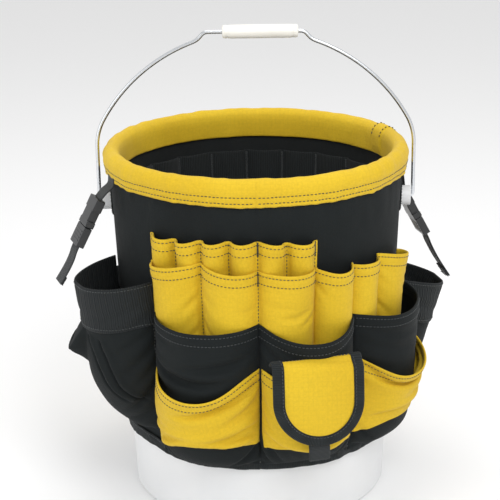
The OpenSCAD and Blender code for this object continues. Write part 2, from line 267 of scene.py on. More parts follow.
def new_mesh(name, verts, quads, material, body, uv=None, caps=()):
    """A smooth-shaded piece from millimetre vertices, riding on a body. uv is in metres, per vertex."""
    mesh = bpy.data.meshes.new(name)
    faces = [np.asarray(quads, int).reshape(-1, 4)] + [np.asarray(c, int) for c in caps if len(c)]
    corners = np.concatenate([f.ravel() for f in faces])
    sizes = np.concatenate([np.full(len(f), f.shape[1]) for f in faces])
    mesh.vertices.add(len(verts))
    mesh.vertices.foreach_set("co", (np.asarray(verts, float) * MM).ravel())
    mesh.loops.add(len(corners))
    mesh.loops.foreach_set("vertex_index", corners)
    mesh.polygons.add(len(sizes))
    mesh.polygons.foreach_set("loop_start", np.concatenate([[0], np.cumsum(sizes)[:-1]]))
    mesh.polygons.foreach_set("use_smooth", np.ones(len(sizes), bool))
    mesh.update(calc_edges=True)
    mesh.validate()
    if uv is not None:
        layer = mesh.uv_layers.new(name="UVMap")
        index = np.empty(len(mesh.loops), int)
        mesh.loops.foreach_get("vertex_index", index)
        layer.data.foreach_set("uv", np.asarray(uv, float)[index].ravel())
    obj = bpy.data.objects.new(name, mesh)
    bpy.context.scene.collection.objects.link(obj)
    mesh.materials.append(material)
    if body:
        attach(obj, body)
    return obj


def shell(name, p, half, s, t, material, body, closed=False, lip_top=True, lip_low=False, normal=None):
    """A sheet of cloth: the grid p given thickness, with round lips. s and t are its flat coordinates."""
    n, m = p.shape[:2]
    normal = face_normals(p, closed) if normal is None else normal
    half = np.broadcast_to(half, (n, m))[..., None]
    outer, inner = p + normal * half, p - normal * half

    def lip(end, inside):
        along = unit(p[end] - p[inside])
        rows = []
        for angle in (60, 120):
            c, w = math.cos(math.radians(angle)), math.sin(math.radians(angle))
            rows.append(p[end] + half[end] * (c * normal[end] + w * along))
        return rows
    ring = list(outer)
    order = list(range(n))
    if lip_top:
        ring += lip(-1, -2)
        order += [n - 1, n - 1]
    ring += list(inner[::-1])
    order += list(range(n - 1, -1, -1))
    if lip_low:
        ring += lip(0, 1)[::-1]
        order += [0, 0]
    verts = np.array(ring)
    count = len(ring)
    if lip_low:                             # keep the ring symmetric about its first pair
        verts = np.roll(verts, 1, 0)
        order = [order[-1]] + order[:-1]
    index = np.arange(count * m).reshape(count, m)
    up = np.roll(index, -1, 0)
    across = np.roll(index, -1, 1)
    both = np.roll(up, -1, 1)
    cut = slice(None) if closed else slice(0, -1)
    quads = np.stack([index, across, both, up], -1)[:, cut].reshape(-1, 4)
    if not closed:
        i = np.arange(count // 2 - 1)
        for col, turn in ((0, 1), (m - 1, -1)):
            cap = np.stack([index[i, col], index[i + 1, col],
                            index[count - 2 - i, col], index[count - 1 - i, col]], -1)
            quads = np.concatenate([quads, cap[:, ::turn]])
    uv = np.stack([s[order], t[order]], -1).reshape(-1, 2) * MM
    return new_mesh(name, verts.reshape(-1, 3), quads, material, body, uv)


# ---------- thread ----------

THREAD_SIDES = 6
THREAD_AT = np.array([0.0, 0.14, 0.5, 0.86, 1.0])
THREAD_FAT = np.array([0.35, 0.9, 1.0, 0.9, 0.35])
THREAD_LIFT = np.array([-0.9, 0.3, 0.7, 0.3, -0.9])


def threads(name, a, b, normal, material, body, r=0.42):
    """One piece of thread from each point a to its b, arched over the cloth between them."""
    along = unit(b - a)
    side = unit(np.cross(normal, along))
    up = np.cross(along, side)
    middle = a[:, None] + (b - a)[:, None] * THREAD_AT[:, None] + up[:, None] * (THREAD_LIFT * r)[:, None]
    turn = np.arange(THREAD_SIDES) * 2 * math.pi / THREAD_SIDES
    ring = np.cos(turn)[:, None] * side[:, None] + np.sin(turn)[:, None] * up[:, None]
    verts = middle[:, :, None] + ring[:, None] * (THREAD_FAT * r)[:, None, None]
    k, stations, sides = verts.shape[:3]
    index = np.arange(k * stations * sides).reshape(k, stations, sides)
    after = np.roll(index, -1, 2)
    quads = np.stack([index[:, :-1], after[:, :-1], after[:, 1:], index[:, 1:]], -1).reshape(-1, 4)
    ends = [index[:, 0, ::-1], index[:, -1]]
    return new_mesh(name, verts.reshape(-1, 3), quads, material, body, caps=ends)


class Thread:
    """Collects a piece's stitches, then makes them as one mesh."""

    def __init__(self):
        self.a, self.b, self.n = [], [], []

    def run(self, line, normal, lift=0.0, pitch=3.5, length=2.6, start=1.0):
        """Dashes along a line that lies in the cloth."""
        along = along_line(line)
        first = np.arange(start, along[-1] - length - 0.5, pitch)

        def pick(values, where):
            return np.stack([np.interp(where, along, values[:, k]) for k in range(3)], -1)
        n = unit(pick(normal, first + length / 2))
        self.a.append(pick(line, first) + n * lift)
        self.b.append(pick(line, first + length) + n * lift)
        self.n.append(n)

    def tack(self, line, normal, across, lift=0.0, width=2.6, pitch=0.95):
        """A bar tack: close threads across a line."""
        along = along_line(line)
        where = np.arange(0, along[-1], pitch)

        def pick(values):
            return np.stack([np.interp(where, along, values[:, k]) for k in range(3)], -1)
        n = unit(pick(normal))
        side = unit(pick(across)) * width / 2
        slant = np.gradient(pick(line), axis=0) * 0.25
        self.a.append(pick(line) - side - slant + n * lift)
        self.b.append(pick(line) + side + slant + n * lift)
        self.n.append(n)

    def make(self, name, material, body, r=0.42):
        return threads(name, np.concatenate(self.a), np.concatenate(self.b),
                       np.concatenate(self.n), material, body, r)


def line_at(p, t, level):
    """The line across a grid at flat distance level, where t holds each point's distance."""
    out = np.empty(p.shape[1:])
    for c in range(p.shape[1]):
        order = np.argsort(t[:, c])
        for k in range(p.shape[2]):
            out[c, k] = np.interp(level, t[order, c], p[order, c, k])
    return out


# ---------- materials ----------

def node_of(tree, kind, **sockets):
    node = tree.nodes.new(kind)
    for key, value in sockets.items():
        if key in node.inputs:
            node.inputs[key].default_value = value
        else:
            setattr(node, key, value)
    return node


class Shader:
    """A small wrapper that joins nodes to one Principled shader."""

    def __init__(self, name, rough, metallic=0.0):
        self.material = bpy.data.materials.new(name)
        self.material.use_nodes = True
        self.tree = self.material.node_tree
        self.main = self.tree.nodes["Principled BSDF"]
        self.main.inputs["Roughness"].default_value = rough
        self.main.inputs["Metallic"].default_value = metallic

    def add(self, kind, **sockets):
        return node_of(self.tree, kind, **sockets)

    def join(self, a, b):
        self.tree.links.new(a, b)

    def uv(self):
        return self.add("ShaderNodeUVMap", uv_map="UVMap").outputs["UV"]

    def place(self):
        return self.add("ShaderNodeTexCoord").outputs["Object"]

    def noise(self, where, scale, detail=3.0, rough=0.55):
        node = self.add("ShaderNodeTexNoise", Scale=scale, Detail=detail, Roughness=rough)
        self.join(where, node.inputs["Vector"])
        return node.outputs["Fac"]

    def bands(self, where, pitch, axis):
        """Sine bands, from 0 to 1, one every pitch metres along an axis."""
        node = self.add("ShaderNodeTexWave", Scale=math.pi / pitch / 10, bands_direction=axis)
        self.join(where, node.inputs["Vector"])
        return node.outputs["Fac"]

    def math(self, kind, a, b):
        node = self.add("ShaderNodeMath", operation=kind)
        for socket, value in zip(node.inputs, (a, b)):
            if isinstance(value, (int, float)):
                socket.default_value = value
            else:
                self.join(value, socket)
        return node.outputs[0]

    def ramp(self, fac, low, high, start=0.3, end=0.7):
        node = self.add("ShaderNodeValToRGB")
        self.join(fac, node.inputs["Fac"])
        first, last = node.color_ramp.elements
        first.position, last.position = start, end
        first.color, last.color = (*low, 1), (*high, 1)
        return node.outputs["Color"]

    def mix(self, fac, a, b, blend="MIX"):
        node = self.add("ShaderNodeMix", data_type="RGBA", blend_type=blend)
        inputs = [i for i in node.inputs if i.enabled]
        for socket, value in zip(inputs, (fac, a, b)):
            if isinstance(value, (int, float)):
                socket.default_value = value
            elif isinstance(value, tuple):
                socket.default_value = (*value, 1)
            else:
                self.join(value, socket)
        return next(o for o in node.outputs if o.enabled)

    def bump(self, height, distance, strength=1.0, under=None):
        node = self.add("ShaderNodeBump", Distance=distance, Strength=strength)
        self.join(height, node.inputs["Height"])
        if under is not None:
            self.join(under, node.inputs["Normal"])
        return node.outputs["Normal"]

    def finish(self, color=None, rough=None, normal=None):
        for socket, value in (("Base Color", color), ("Roughness", rough), ("Normal", normal)):
            if isinstance(value, tuple):
                self.main.inputs[socket].default_value = (*value, 1)
            elif value is not None:
                self.join(value, self.main.inputs[socket])
        return self.material


def woven(name, dark, light, weave, grid, sheen, rough, soil=None):
    """Plain-weave cloth: fine threads both ways, a faint ripstop grid and uneven colour."""
    m = Shader(name, rough)
    uv = m.uv()
    place = m.place()
    warp, weft = m.bands(uv, weave, "X"), m.bands(uv, weave, "Y")
    cloth = m.math("ADD", warp, weft)
    lines = m.math("MAXIMUM", m.math("POWER", m.bands(uv, grid, "X"), 24.0),
                   m.math("POWER", m.bands(uv, grid, "Y"), 24.0))
    height = m.math("ADD", m.math("MULTIPLY", cloth, 0.5), m.math("MULTIPLY", lines, 0.35))
    color = m.ramp(m.noise(place, 9.0), dark, light)
    fine = m.ramp(m.noise(place, 420.0, 2.0), (0.94, 0.94, 0.94), (1.04, 1.04, 1.04))
    color = m.mix(1.0, color, fine, "MULTIPLY")
    threads_tone = m.ramp(lines, (1.0, 1.0, 1.0), (0.955, 0.955, 0.955), 0.0, 1.0)
    color = m.mix(1.0, color, threads_tone, "MULTIPLY")
    if soil:
        marks = m.ramp(m.noise(place, 17.0, 6.0, 0.7), (0, 0, 0), (1, 1, 1), 0.62, 0.80)
        color = m.mix(m.math("MULTIPLY", marks, 0.10), color, soil)
    m.main.inputs["Sheen Weight"].default_value = sheen
    m.main.inputs["Sheen Roughness"].default_value = 0.45
    m.main.inputs["Specular IOR Level"].default_value = 0.28
    crease = m.bump(m.noise(place, 55.0, 4.0), 0.0011, 0.55)
    return m.finish(color, None, m.bump(height, 0.00022, 0.65, crease))


def ribbed(name, dark, light, pitch, across, rough, sheen=0.25, depth=0.0004):
    """Narrow fabric with ribs: binding, elastic and webbing. across is the uv axis the ribs repeat along. Its
    colour carries painted shade: dark in the grooves between ribs, light on their crests.
    """
    m = Shader(name, rough)
    uv = m.uv()
    other = "Y" if across == "X" else "X"
    ribs = m.bands(uv, pitch, across)
    yarn = m.bands(uv, pitch * 0.55, other)
    height = m.math("ADD", ribs, m.math("MULTIPLY", yarn, 0.35))
    # painted shade: the colour follows the rib height, dark in the grooves and light on the crests
    color = m.ramp(height, dark, light, 0.2, 1.2)
    m.main.inputs["Sheen Weight"].default_value = sheen
    m.main.inputs["Sheen Roughness"].default_value = 0.5
    m.main.inputs["Specular IOR Level"].default_value = 0.3
    fuzz = m.bump(m.noise(m.place(), 300.0, 3.0), 0.0003, 0.4)
    return m.finish(color, None, m.bump(height, depth, 0.8, fuzz))


def moulded(name, color, other, rough, grain, depth, metallic=0.0, scratches=0.0):
    """Moulded or plated hard material with a fine grain and handling marks, and its shader."""
    m = Shader(name, rough, metallic)
    place = m.place()
    cloud = m.noise(place, 14.0, 5.0)
    base = m.ramp(cloud, color, other)
    stretch = m.add("ShaderNodeMapping")
    stretch.inputs["Scale"].default_value = (40.0, 40.0, 900.0)
    m.join(place, stretch.inputs["Vector"])
    fine = m.noise(place, grain, 3.0)
    streaks = m.noise(stretch.outputs["Vector"], 1.0, 4.0)
    worn = m.math("ADD", m.math("MULTIPLY", fine, 0.5), m.math("MULTIPLY", streaks, scratches))
    shine = m.math("ADD", m.math("MULTIPLY", worn, 0.25), rough - 0.1)
    return m.finish(base, shine, m.bump(worn, depth, 0.5)), m.main


def thread_material(name, color):
    m = Shader(name, 0.55)
    tone = m.ramp(m.noise(m.place(), 900.0, 2.0), tuple(c * 0.75 for c in color), color)
    m.main.inputs["Sheen Weight"].default_value = 0.2
    return m.finish(tone, None, m.bump(m.noise(m.place(), 2500.0, 2.0), 0.0002, 0.5))


YELLOW = woven("yellow_canvas", (0.62, 0.400, 0.0125), (0.70, 0.472, 0.0185), 0.0007, 0.0048, 0.06, 0.72,
               soil=(0.42, 0.22, 0.02))
BLACK = woven("black_canvas", (0.0034, 0.0054, 0.0058), (0.0060, 0.0092, 0.0098), 0.0007, 0.0050,
              0.015, 0.84)
LINING = woven("black_lining", (0.0058, 0.0074, 0.0080), (0.0095, 0.0120, 0.0130), 0.0006, 0.0060,
               0.03, 0.75)
# For each ribbed fabric the first colour is painted shade in the grooves and the second is painted light on
# the crests.
BINDING = ribbed("grosgrain_binding", (0.0045, 0.0065, 0.0071), (0.0135, 0.0180, 0.0192), 0.0016, "X",
                 0.78, 0.05)
ELASTIC = ribbed("ribbed_elastic", (0.0040, 0.0056, 0.0062), (0.0120, 0.0155, 0.0166), 0.0021, "X",
                 0.78, 0.05)
WEBBING = ribbed("strap_webbing", (0.0070, 0.0092, 0.0100), (0.0200, 0.0240, 0.0255), 0.0013, "Y",
                 0.6, 0.10)
PILE = ribbed("hook_and_loop_pile", (0.008, 0.009, 0.010), (0.030, 0.033, 0.035), 0.0009, "X",
              0.9, 0.5, 0.0006)
DARK_THREAD = thread_material("dark_thread", (0.016, 0.020, 0.022))
GREY_THREAD = thread_material("charcoal_thread", (0.030, 0.036, 0.038))
PAIL, PAIL_SHADER = moulded("pail_polyethylene", (0.72, 0.73, 0.74), (0.77, 0.775, 0.78), 0.38, 160.0, 0.0002,
                      scratches=0.35)
PAIL_SHADER.inputs["Subsurface Weight"].default_value = 0.25
PAIL_SHADER.inputs["Subsurface Radius"].default_value = (0.012, 0.012, 0.012)
PAIL_SHADER.inputs["Subsurface Scale"].default_value = 0.6
ZINC = moulded("bright_zinc", (0.62, 0.64, 0.66), (0.72, 0.74, 0.77), 0.26, 260.0, 0.00006,
               metallic=1.0, scratches=0.5)[0]
GRIP = moulded("grip_polypropylene", (0.78, 0.76, 0.70), (0.84, 0.82, 0.77), 0.36, 300.0, 0.0001)[0]
BUCKLE = moulded("buckle_acetal", (0.010, 0.011, 0.012), (0.016, 0.017, 0.018), 0.34, 420.0, 0.0001)[0]


# ---------- pockets ----------

def curve(points):
    """A smooth function through a few (x, y) points, level at each."""
    xs, ys = (np.array(v, float) for v in zip(*points))

    def value(x):
        x = np.clip(x, xs[0], xs[-1])
        i = np.clip(np.searchsorted(xs, x, side="right") - 1, 0, len(xs) - 2)
        return ys[i] + (ys[i + 1] - ys[i]) * smooth((x - xs[i]) / (xs[i + 1] - xs[i]))
    return value


def arc_length(chord, sag):
    """Length of a round arc that stands sag away from its chord."""
    sag = max(sag, 0.01)
    radius = (chord * chord / 4 + sag * sag) / (2 * sag)
    angle = 2 * math.asin(min(1.0, chord / 2 / radius))
    return radius * (angle if sag <= chord / 2 else 2 * math.pi - angle)


HEM = 14.0                    # depth of a pocket's folded top hem
HEM_ROWS = (2.6, 11.0)        # its two rows of stitches, down from the edge
LAYER = 1.5                   # how much each sewn layer adds at a seam
MARGIN = 2.6                  # cloth sewn flat past a row's end seams


class Pockets:
    """A strip of cloth sewn down at its seams and floor, open at the top and pushed out between."""

    def __init__(self, seams, top, floor_z, low_out, top_out, layer, grow=0.2, slack=1.006, seed=1,
                 reach=14.0, push=0.06, weight=0.02, floor_out=1.2, margins=True, steps=150, extra=0.3):
        top = curve(top)
        base = curve(floor_z if isinstance(floor_z, list) else [(seams[0], floor_z), (seams[-1], floor_z)])
        floor_z = float(base(seams[0]))
        az, seam_cols = [], []
        side = MARGIN / wall_r(floor_z) * 180 / math.pi

        def pinned_r(z):
            return wall_r(z) + WRAP_FACE + layer * LAYER
        mid_z = (floor_z + float(top(seams[0]))) / 2
        cells_low, cells_top = [], []
        if margins:
            az += list(np.linspace(seams[0] - side, seams[0], 3)[:-1])
            cells_low += [MARGIN / 2] * 2
            cells_top += [MARGIN / 2] * 2
        share = [0.0] * len(az)
        for a0, a1 in zip(seams[:-1], seams[1:]):
            turn = math.radians(a1 - a0)
            bow = float(pinned_r(mid_z)) * (1 - math.cos(turn / 2))
            chord = 2 * float(pinned_r(mid_z)) * math.sin(turn / 2)
            low, high = arc_length(chord, low_out + bow), arc_length(chord, top_out + bow)
            count = max(6, 2 * round(high / CELL / 2))
            seam_cols.append(len(az))
            part = np.linspace(0, 1, count + 1)[:-1]
            az += list(a0 + (a1 - a0) * part)
            share += list(4 * part * (1 - part))
            cells_low += [(chord, low, count)] * count
            cells_top += [high / count] * count
        seam_cols.append(len(az))
        az.append(seams[-1])
        share.append(0.0)
        if margins:
            az += list(np.linspace(seams[-1], seams[-1] + side, 3)[1:])
            share += [0.0, 0.0]
            cells_low += [MARGIN / 2] * 2
            cells_top += [MARGIN / 2] * 2
        az, share = np.array(az), np.array(share)
        height = top(az) - base(az)
        rows = max(8, 2 * round(height.max() / CELL / 2))
        v = np.linspace(0, 1, rows + 1)[:, None]
        rise = smooth(np.minimum(1, v / grow))
        flat_u = np.empty((rows + 1, len(az) - 1))
        for c, (low, high) in enumerate(zip(cells_low, cells_top)):
            if isinstance(low, tuple):
                chord, full, count = low
                start = chord / count * 1.01
                flat_u[:, c] = start + (full / count + (high - full / count) * v[:, 0] - start) * rise[:, 0]
            else:
                flat_u[:, c] = high
        drop = height + share * low_out * extra
        flat_v = np.repeat((drop / rows)[None], rows, 0)
        flat_v *= np.where(share > 0, slack, 1)
        flat_u *= 1 + 0.006 * soft_noise(flat_u.shape, seed, 3, 4)
        z = base(az)[None] + v * height[None]
        out = share * (low_out + (top_out - low_out) * v) * rise
        p = at(az[None], pinned_r(z) + out, z)
        fixed = (share == 0)
        free = np.where(fixed[None], 0.0, 1.0) * np.ones_like(z)
        free[0] = 0.0
        p[0] = at(az, np.maximum(relief_at(az, z[0]) * (share > 0) + pinned_r(z[0]) * (share == 0),
                                 pinned_r(z[0])) + floor_out * (share > 0), z[0])
        force = push * (1 + 0.2 * soft_noise(z.shape, seed + 50, 6, 6))
        settle(p, flat_u, flat_v, free, force, weight,
               lambda a, h: relief_at(a, h) + CLOTH * 0.6,
               lambda a, h: wall_r(h) + max(low_out, top_out) + reach, steps)
        s = cumulative(flat_u, 1)
        t = cumulative(flat_v, 0)
        t = t[-1:] - t
        for axis in (0, 1):
            p = refine(p, axis)
            s = refine(s[..., None], axis)[..., 0]
            t = refine(t[..., None], axis)[..., 0]
        self.p, self.s, self.t = p, s - s[:, :1], t
        self.seam_cols = [2 * c for c in seam_cols]
        self.share = refine(share[:, None, None], 0)[:, 0, 0]
        self.width = float(flat_u.sum(1).mean())
        self.length = float(flat_v.sum(0).mean())
        self.normal = face_normals(p)

    def sew(self, hem=True):
        """Presses the stitch rows into the cloth and returns its half thickness."""
        half = np.full(self.t.shape, CLOTH / 2)
        if hem:
            half += 0.42 * smooth((HEM - self.t) / 1.6)
            for row in HEM_ROWS:
                self.p -= self.normal * (0.32 * np.exp(-((self.t - row) / 1.1) ** 2))[..., None]
        for c in self.seam_cols:
            reach = np.abs(np.arange(self.t.shape[1]) - c)
            half -= 0.15 * np.exp(-(reach / 1.5) ** 2)[None]
        return half

    def build(self, name, node, cloth, thread, tacks=(), hem=True, lift=0.0,
              rows=HEM_ROWS, body="organizer"):
        half = self.sew(hem)
        piece = shell(name, self.p, half, self.s, self.t, cloth, body, normal=self.normal)
        cover(self.p + self.normal * half[..., None])
        stand_for(node)
        sewing = Thread()
        if hem:
            for row in rows:
                line = line_at(self.p, self.t, row)
                normal = unit(line_at(self.normal, self.t, row))
                thick = line_at(half[..., None] * np.ones(3), self.t, row)[:, 0].mean()
                sewing.run(line, normal, thick + lift)
        across = unit(np.gradient(self.p, axis=1))
        for k, c in enumerate(self.seam_cols):
            line, normal = self.p[::-1, c], self.normal[::-1, c]
            sewing.run(line, normal, half[:, c].mean(), pitch=3.6, start=2)
            if k in tacks:
                length = 15.0
                keep = self.t[::-1, c] < length
                sewing.tack(line[keep], normal[keep], across[::-1, c][keep], half[-1, c] + 0.1)
        stitches = sewing.make(name + "_stitches", thread, body)
        return piece


# ---------- camera, lights and floor ----------

def look(obj, place, target):
    obj.location = place
    obj.rotation_euler = (Vector(target) - Vector(place)).to_track_quat("-Z", "Y").to_euler()


# The camera was fitted to the rim, cuff, seams and hem. It does not match the pail's base.
CAMERA_AT = (-0.0072, -1.5, 0.7454)      # metres
CAMERA_DOWN = 18.26                      # degrees below level
CAMERA_ROLL = -0.0145                    # radians
CAMERA_LENS = 108.9                      # millimetres, for a sensor 36 wide


def make_camera():
    camera = bpy.data.objects.new("camera", bpy.data.cameras.new("camera"))
    bpy.context.scene.collection.objects.link(camera)
    camera.location = CAMERA_AT
    turn = Matrix.Rotation(math.radians(90 - CAMERA_DOWN), 3, "X") @ Matrix.Rotation(CAMERA_ROLL, 3, "Z")
    camera.rotation_euler = turn.to_euler()
    camera.data.lens = CAMERA_LENS
    camera.data.sensor_width = 36
    bpy.context.scene.camera = camera
    bpy.context.scene.view_settings.view_transform = "Standard"


def make_light(name, place, target, size, power, color=(1, 1, 1)):
    data = bpy.data.lights.new(name, "AREA")
    data.shape = "RECTANGLE"
    data.size, data.size_y = size
    data.energy = power
    data.color = color
    lamp = bpy.data.objects.new(name, data)
    bpy.context.scene.collection.objects.link(lamp)
    look(lamp, place, target)


def make_stage():
    mesh = bpy.data.meshes.new("floor")
    reach = 6.0
    mesh.from_pydata([(-reach, -reach, 0), (reach, -reach, 0), (reach, reach, 0), (-reach, reach, 0)],
                     [], [(0, 1, 2, 3)])
    floor = bpy.data.objects.new("floor", mesh)
    bpy.context.scene.collection.objects.link(floor)
    paper = Shader("floor_paper", 0.9)
    paper.finish((0.93, 0.93, 0.93))
    mesh.materials.append(paper.material)
    world = bpy.data.worlds.new("studio")
    bpy.context.scene.world = world
    world.use_nodes = True
    world.node_tree.nodes["Background"].inputs["Color"].default_value = (1.0, 1.0, 1.0, 1)
    world.node_tree.nodes["Background"].inputs["Strength"].default_value = 0.78
    centre = (0, 0, 0.22)
    make_light("key", (0.55, -1.3, 1.5), centre, (0.9, 0.9), 15)
    make_light("fill", (-1.5, -0.9, 0.7), centre, (1.0, 1.2), 6)
    make_light("top", (0, 0.3, 1.9), centre, (1.2, 1.2), 9)


make_camera()
make_stage()


def joint_place(name):
    joints = frame["record"]["behaviour"]["joints"]
    joint = next(j for j in joints if j["name"] == name)
    return np.array(joint["pos_m"]) / MM


_hinge = joint_place("flap_hinge")
FLAP_AZ = math.degrees(math.atan2(_hinge[0], -_hinge[1]))


PARTS_LIFT = 17.0             # how far the parts pockets' sewn floor is above their solids' floor


# ---------- front pockets ----------

def build_front():
    c = COLUMN
    slot_top = span("slot_row_front", 2)[1]
    tool_top = span("tool_pockets_front", 2)[1]
    slot_seams = [k * c / 2 for k in range(-4, 3)]
    edge = []
    for k, rise in zip(range(-4, 2), (-6, -7, -5, -4, -4, -6)):
        edge += [(k * c / 2, slot_top + rise), (k * c / 2 + c / 4, slot_top + rise - 2)]
    edge.append((c, slot_top - 7))
    Pockets(slot_seams, edge, span("slot_row_front", 2)[0], 7, 9.5, 1, seed=3, reach=6).build(
        "slot_row_front_cloth", "slot_row_front", YELLOW, DARK_THREAD, tacks=(0, 4, 6))
    floor = span("tool_pockets_front", 2)[0]
    edge = []
    for k, rise in zip(range(-2, 1), (-3, 4, -2)):
        edge += [(k * c, tool_top + rise), (k * c + c / 2, tool_top - 2)]
    edge.append((c, tool_top - 3.5))
    Pockets([-2 * c, -c, 0, c], edge, floor, 13, 16.5, 2, seed=5).build(
        "tool_pockets_front_cloth", "tool_pockets_front", YELLOW, DARK_THREAD, tacks=(2, 3))
    right = tool_top + 1
    r1, r2, r3 = RIGHT[:3]
    Pockets([c, r1], [(c, right - 4.5), (28, right - 13), (34, right - 12), (r1, right - 6)],
            floor, 13, 15, 2, seed=8, margins=False).build(
        "screwdriver_pocket_cloth", "screwdriver_pocket", YELLOW, DARK_THREAD, tacks=(1,))
    Pockets([r1, r2], [(r1, right - 8), (41, right - 11), (47, right - 10), (r2, right - 9)],
            floor, 9, 10, 2.5, seed=9, margins=False).build(
        "flashlight_pocket_cloth", "flashlight_pocket", YELLOW, DARK_THREAD)
    Pockets([r2, r3], [(r2, right - 6), (60, right - 13), (r3, right - 16)],
            floor, 12, 16, 2, seed=10, margins=False).build(
        "marker_pocket_cloth", "marker_pocket", YELLOW, DARK_THREAD)


def build_black():
    c = COLUMN
    r0, r3 = RIGHT[0], RIGHT[3]
    low, top = span("black_pocket_left", 2)
    floor = low + 1
    left = [(-2 * c, top - 3), (-29, top + 8), (-20, top + 11), (-11, top + 9), (-4.5, top - 1), (0, top - 3)]
    centre = [(0, top - 3), (7, top - 12), (14, top - 17), (21, top - 15), (30, top - 7), (r0, top - 5)]
    right = [(r0, top - 5), (46, top - 3), (60, top - 4), (r3, top - 6)]
    for node, seams, edge, low_out, top_out, seed in (
            ("black_pocket_left", [-2 * c, 0], left, 24, 28, 12),
            ("black_pocket_centre", [0, r0], centre, 24, 30, 13),
            ("black_pocket_right", [r0, r3], right, 22, 26, 14)):
        pocket = Pockets(seams, edge, floor, low_out, top_out, 3, grow=0.16, seed=seed, margins=False)
        pocket.build(node + "_cloth", node, BLACK, GREY_THREAD)


def build_parts():
    c = COLUMN
    r0, r3 = RIGHT[0], RIGHT[3]
    floor = span("parts_pocket_left", 2)[0] + PARTS_LIFT
    left = Pockets([-2 * c, 0], [(-2 * c, 169), (-25, 169), (-17, 173), (-6, 182), (0, 178)],
                   [(-2 * c, floor - 14), (-c, floor + 10), (0, floor)], 27, 37, 4, grow=0.3, extra=0.15,
                   seed=21, margins=False)
    left.build("parts_pocket_left_cloth", "parts_pocket_left", YELLOW, DARK_THREAD, tacks=(1,))
    right = Pockets([r0, r3], [(r0, 178), (45, 168), (57, 162), (70, 165), (r3, 176)],
                    [(r0, floor - 5), (52, floor + 2), (r3, floor + 6)], 24, 37, 4, grow=0.3, extra=0.15,
                    seed=22, margins=False)
    right.build("parts_pocket_right_cloth", "parts_pocket_right", YELLOW, DARK_THREAD)
    a0, a1 = FLAP_AZ - 16.5, FLAP_AZ + 18.0
    middle = Pockets([a0, a1], [(a0, 179), (FLAP_AZ - 9, 173), (FLAP_AZ + 9, 171), (a1, 171)],
                     floor - 3, 32, 36, 4.6, grow=0.16, seed=23, margins=False, reach=3)
    middle.build("flap_pocket_cloth", "flap_pocket", YELLOW, DARK_THREAD)


def build_rear():
    tools, blacks, parts = "tool_pockets_rear", "black_pockets_rear", "parts_pockets_rear"
    start, end = 6 * COLUMN + 1, 11 * COLUMN
    quarter = (end - start) / 4
    seams = [start + k * quarter for k in range(5)]

    def scallops(edges, high, dip):
        edge = []
        for a0, a1 in zip(edges[:-1], edges[1:]):
            edge += [(a0, high), ((a0 + a1) / 2, high - dip)]
        return edge + [(edges[-1], high)]
    z0, z1 = span(tools, 2)
    Pockets(seams, scallops(seams, z1 + 1, 3), z0, 13, 17, 1, seed=31).build(
        tools + "_cloth", tools, YELLOW, DARK_THREAD, tacks=(0, 1, 2, 3, 4))
    z0, z1 = span(blacks, 2)
    Pockets(seams[::2], scallops(seams[::2], z1 + 1, 7), z0 + 1, 25, 31, 2, grow=0.16, seed=33).build(
        blacks + "_cloth", blacks, BLACK, GREY_THREAD)
    z0, z1 = span(parts, 2)
    Pockets(seams[::2], scallops(seams[::2], z1, 9), z0 + 8, 38, 46, 3, grow=0.2, seed=34).build(
        parts + "_cloth", parts, YELLOW, DARK_THREAD, tacks=(0, 1, 2))


# ---------- the wrap, cuff and liner ----------

def ring_grid(line, spacing):
    """A closed grid round the pail through a profile of (radius, height) points, low edge first."""
    line = np.array(line, float)
    count = round(2 * math.pi * line[:, 0].mean() / spacing)
    az = np.arange(count) * 360 / count
    p = at(az[None], line[:, :1], line[:, 1:])
    run = along_line(line)
    s = np.radians(az)[None] * line[:, 0].mean() * np.ones((len(line), 1))
    t = np.repeat((run[-1] - run)[:, None], count, 1)
    return p, az, s, t


def spline(points, spacing):
    """Even points along a smooth line through a few (x, y) points."""
    pts = np.array(points, float)
    ends = np.concatenate([2 * pts[:1] - pts[1:2], pts, 2 * pts[-1:] - pts[-2:-1]])
    dense = []
    for k in range(len(pts) - 1):
        a, b, c, d = ends[k:k + 4]
        for t in np.linspace(0, 1, 24, endpoint=False):
            dense.append(0.5 * (2 * b + (c - a) * t + (2 * a - 5 * b + 4 * c - d) * t ** 2
                                + (3 * b - a - 3 * c + d) * t ** 3))
    dense = np.array(dense + [pts[-1]])
    run = along_line(dense)
    where = np.linspace(0, run[-1], max(2, round(run[-1] / spacing) + 1))
    return np.stack([np.interp(where, run, dense[:, k]) for k in range(dense.shape[1])], -1)


def ring_stitches(sewing, p, normal, t, level, half, **how):
    line = line_at(p, t, level)
    n = unit(line_at(normal, t, level))
    sewing.run(np.concatenate([line, line[:1]]), np.concatenate([n, n[:1]]), half, **how)


def away(az, centre):
    """Degrees from centre, from -180 to 180."""
    return (np.asarray(az) - centre + 180) % 360 - 180


CUFF_SEAM = 112.0              # where the cuff's two ends overlap
CUFF_ROWS = (3.2, 9.6)         # its stitch rows, up from the outer lower edge


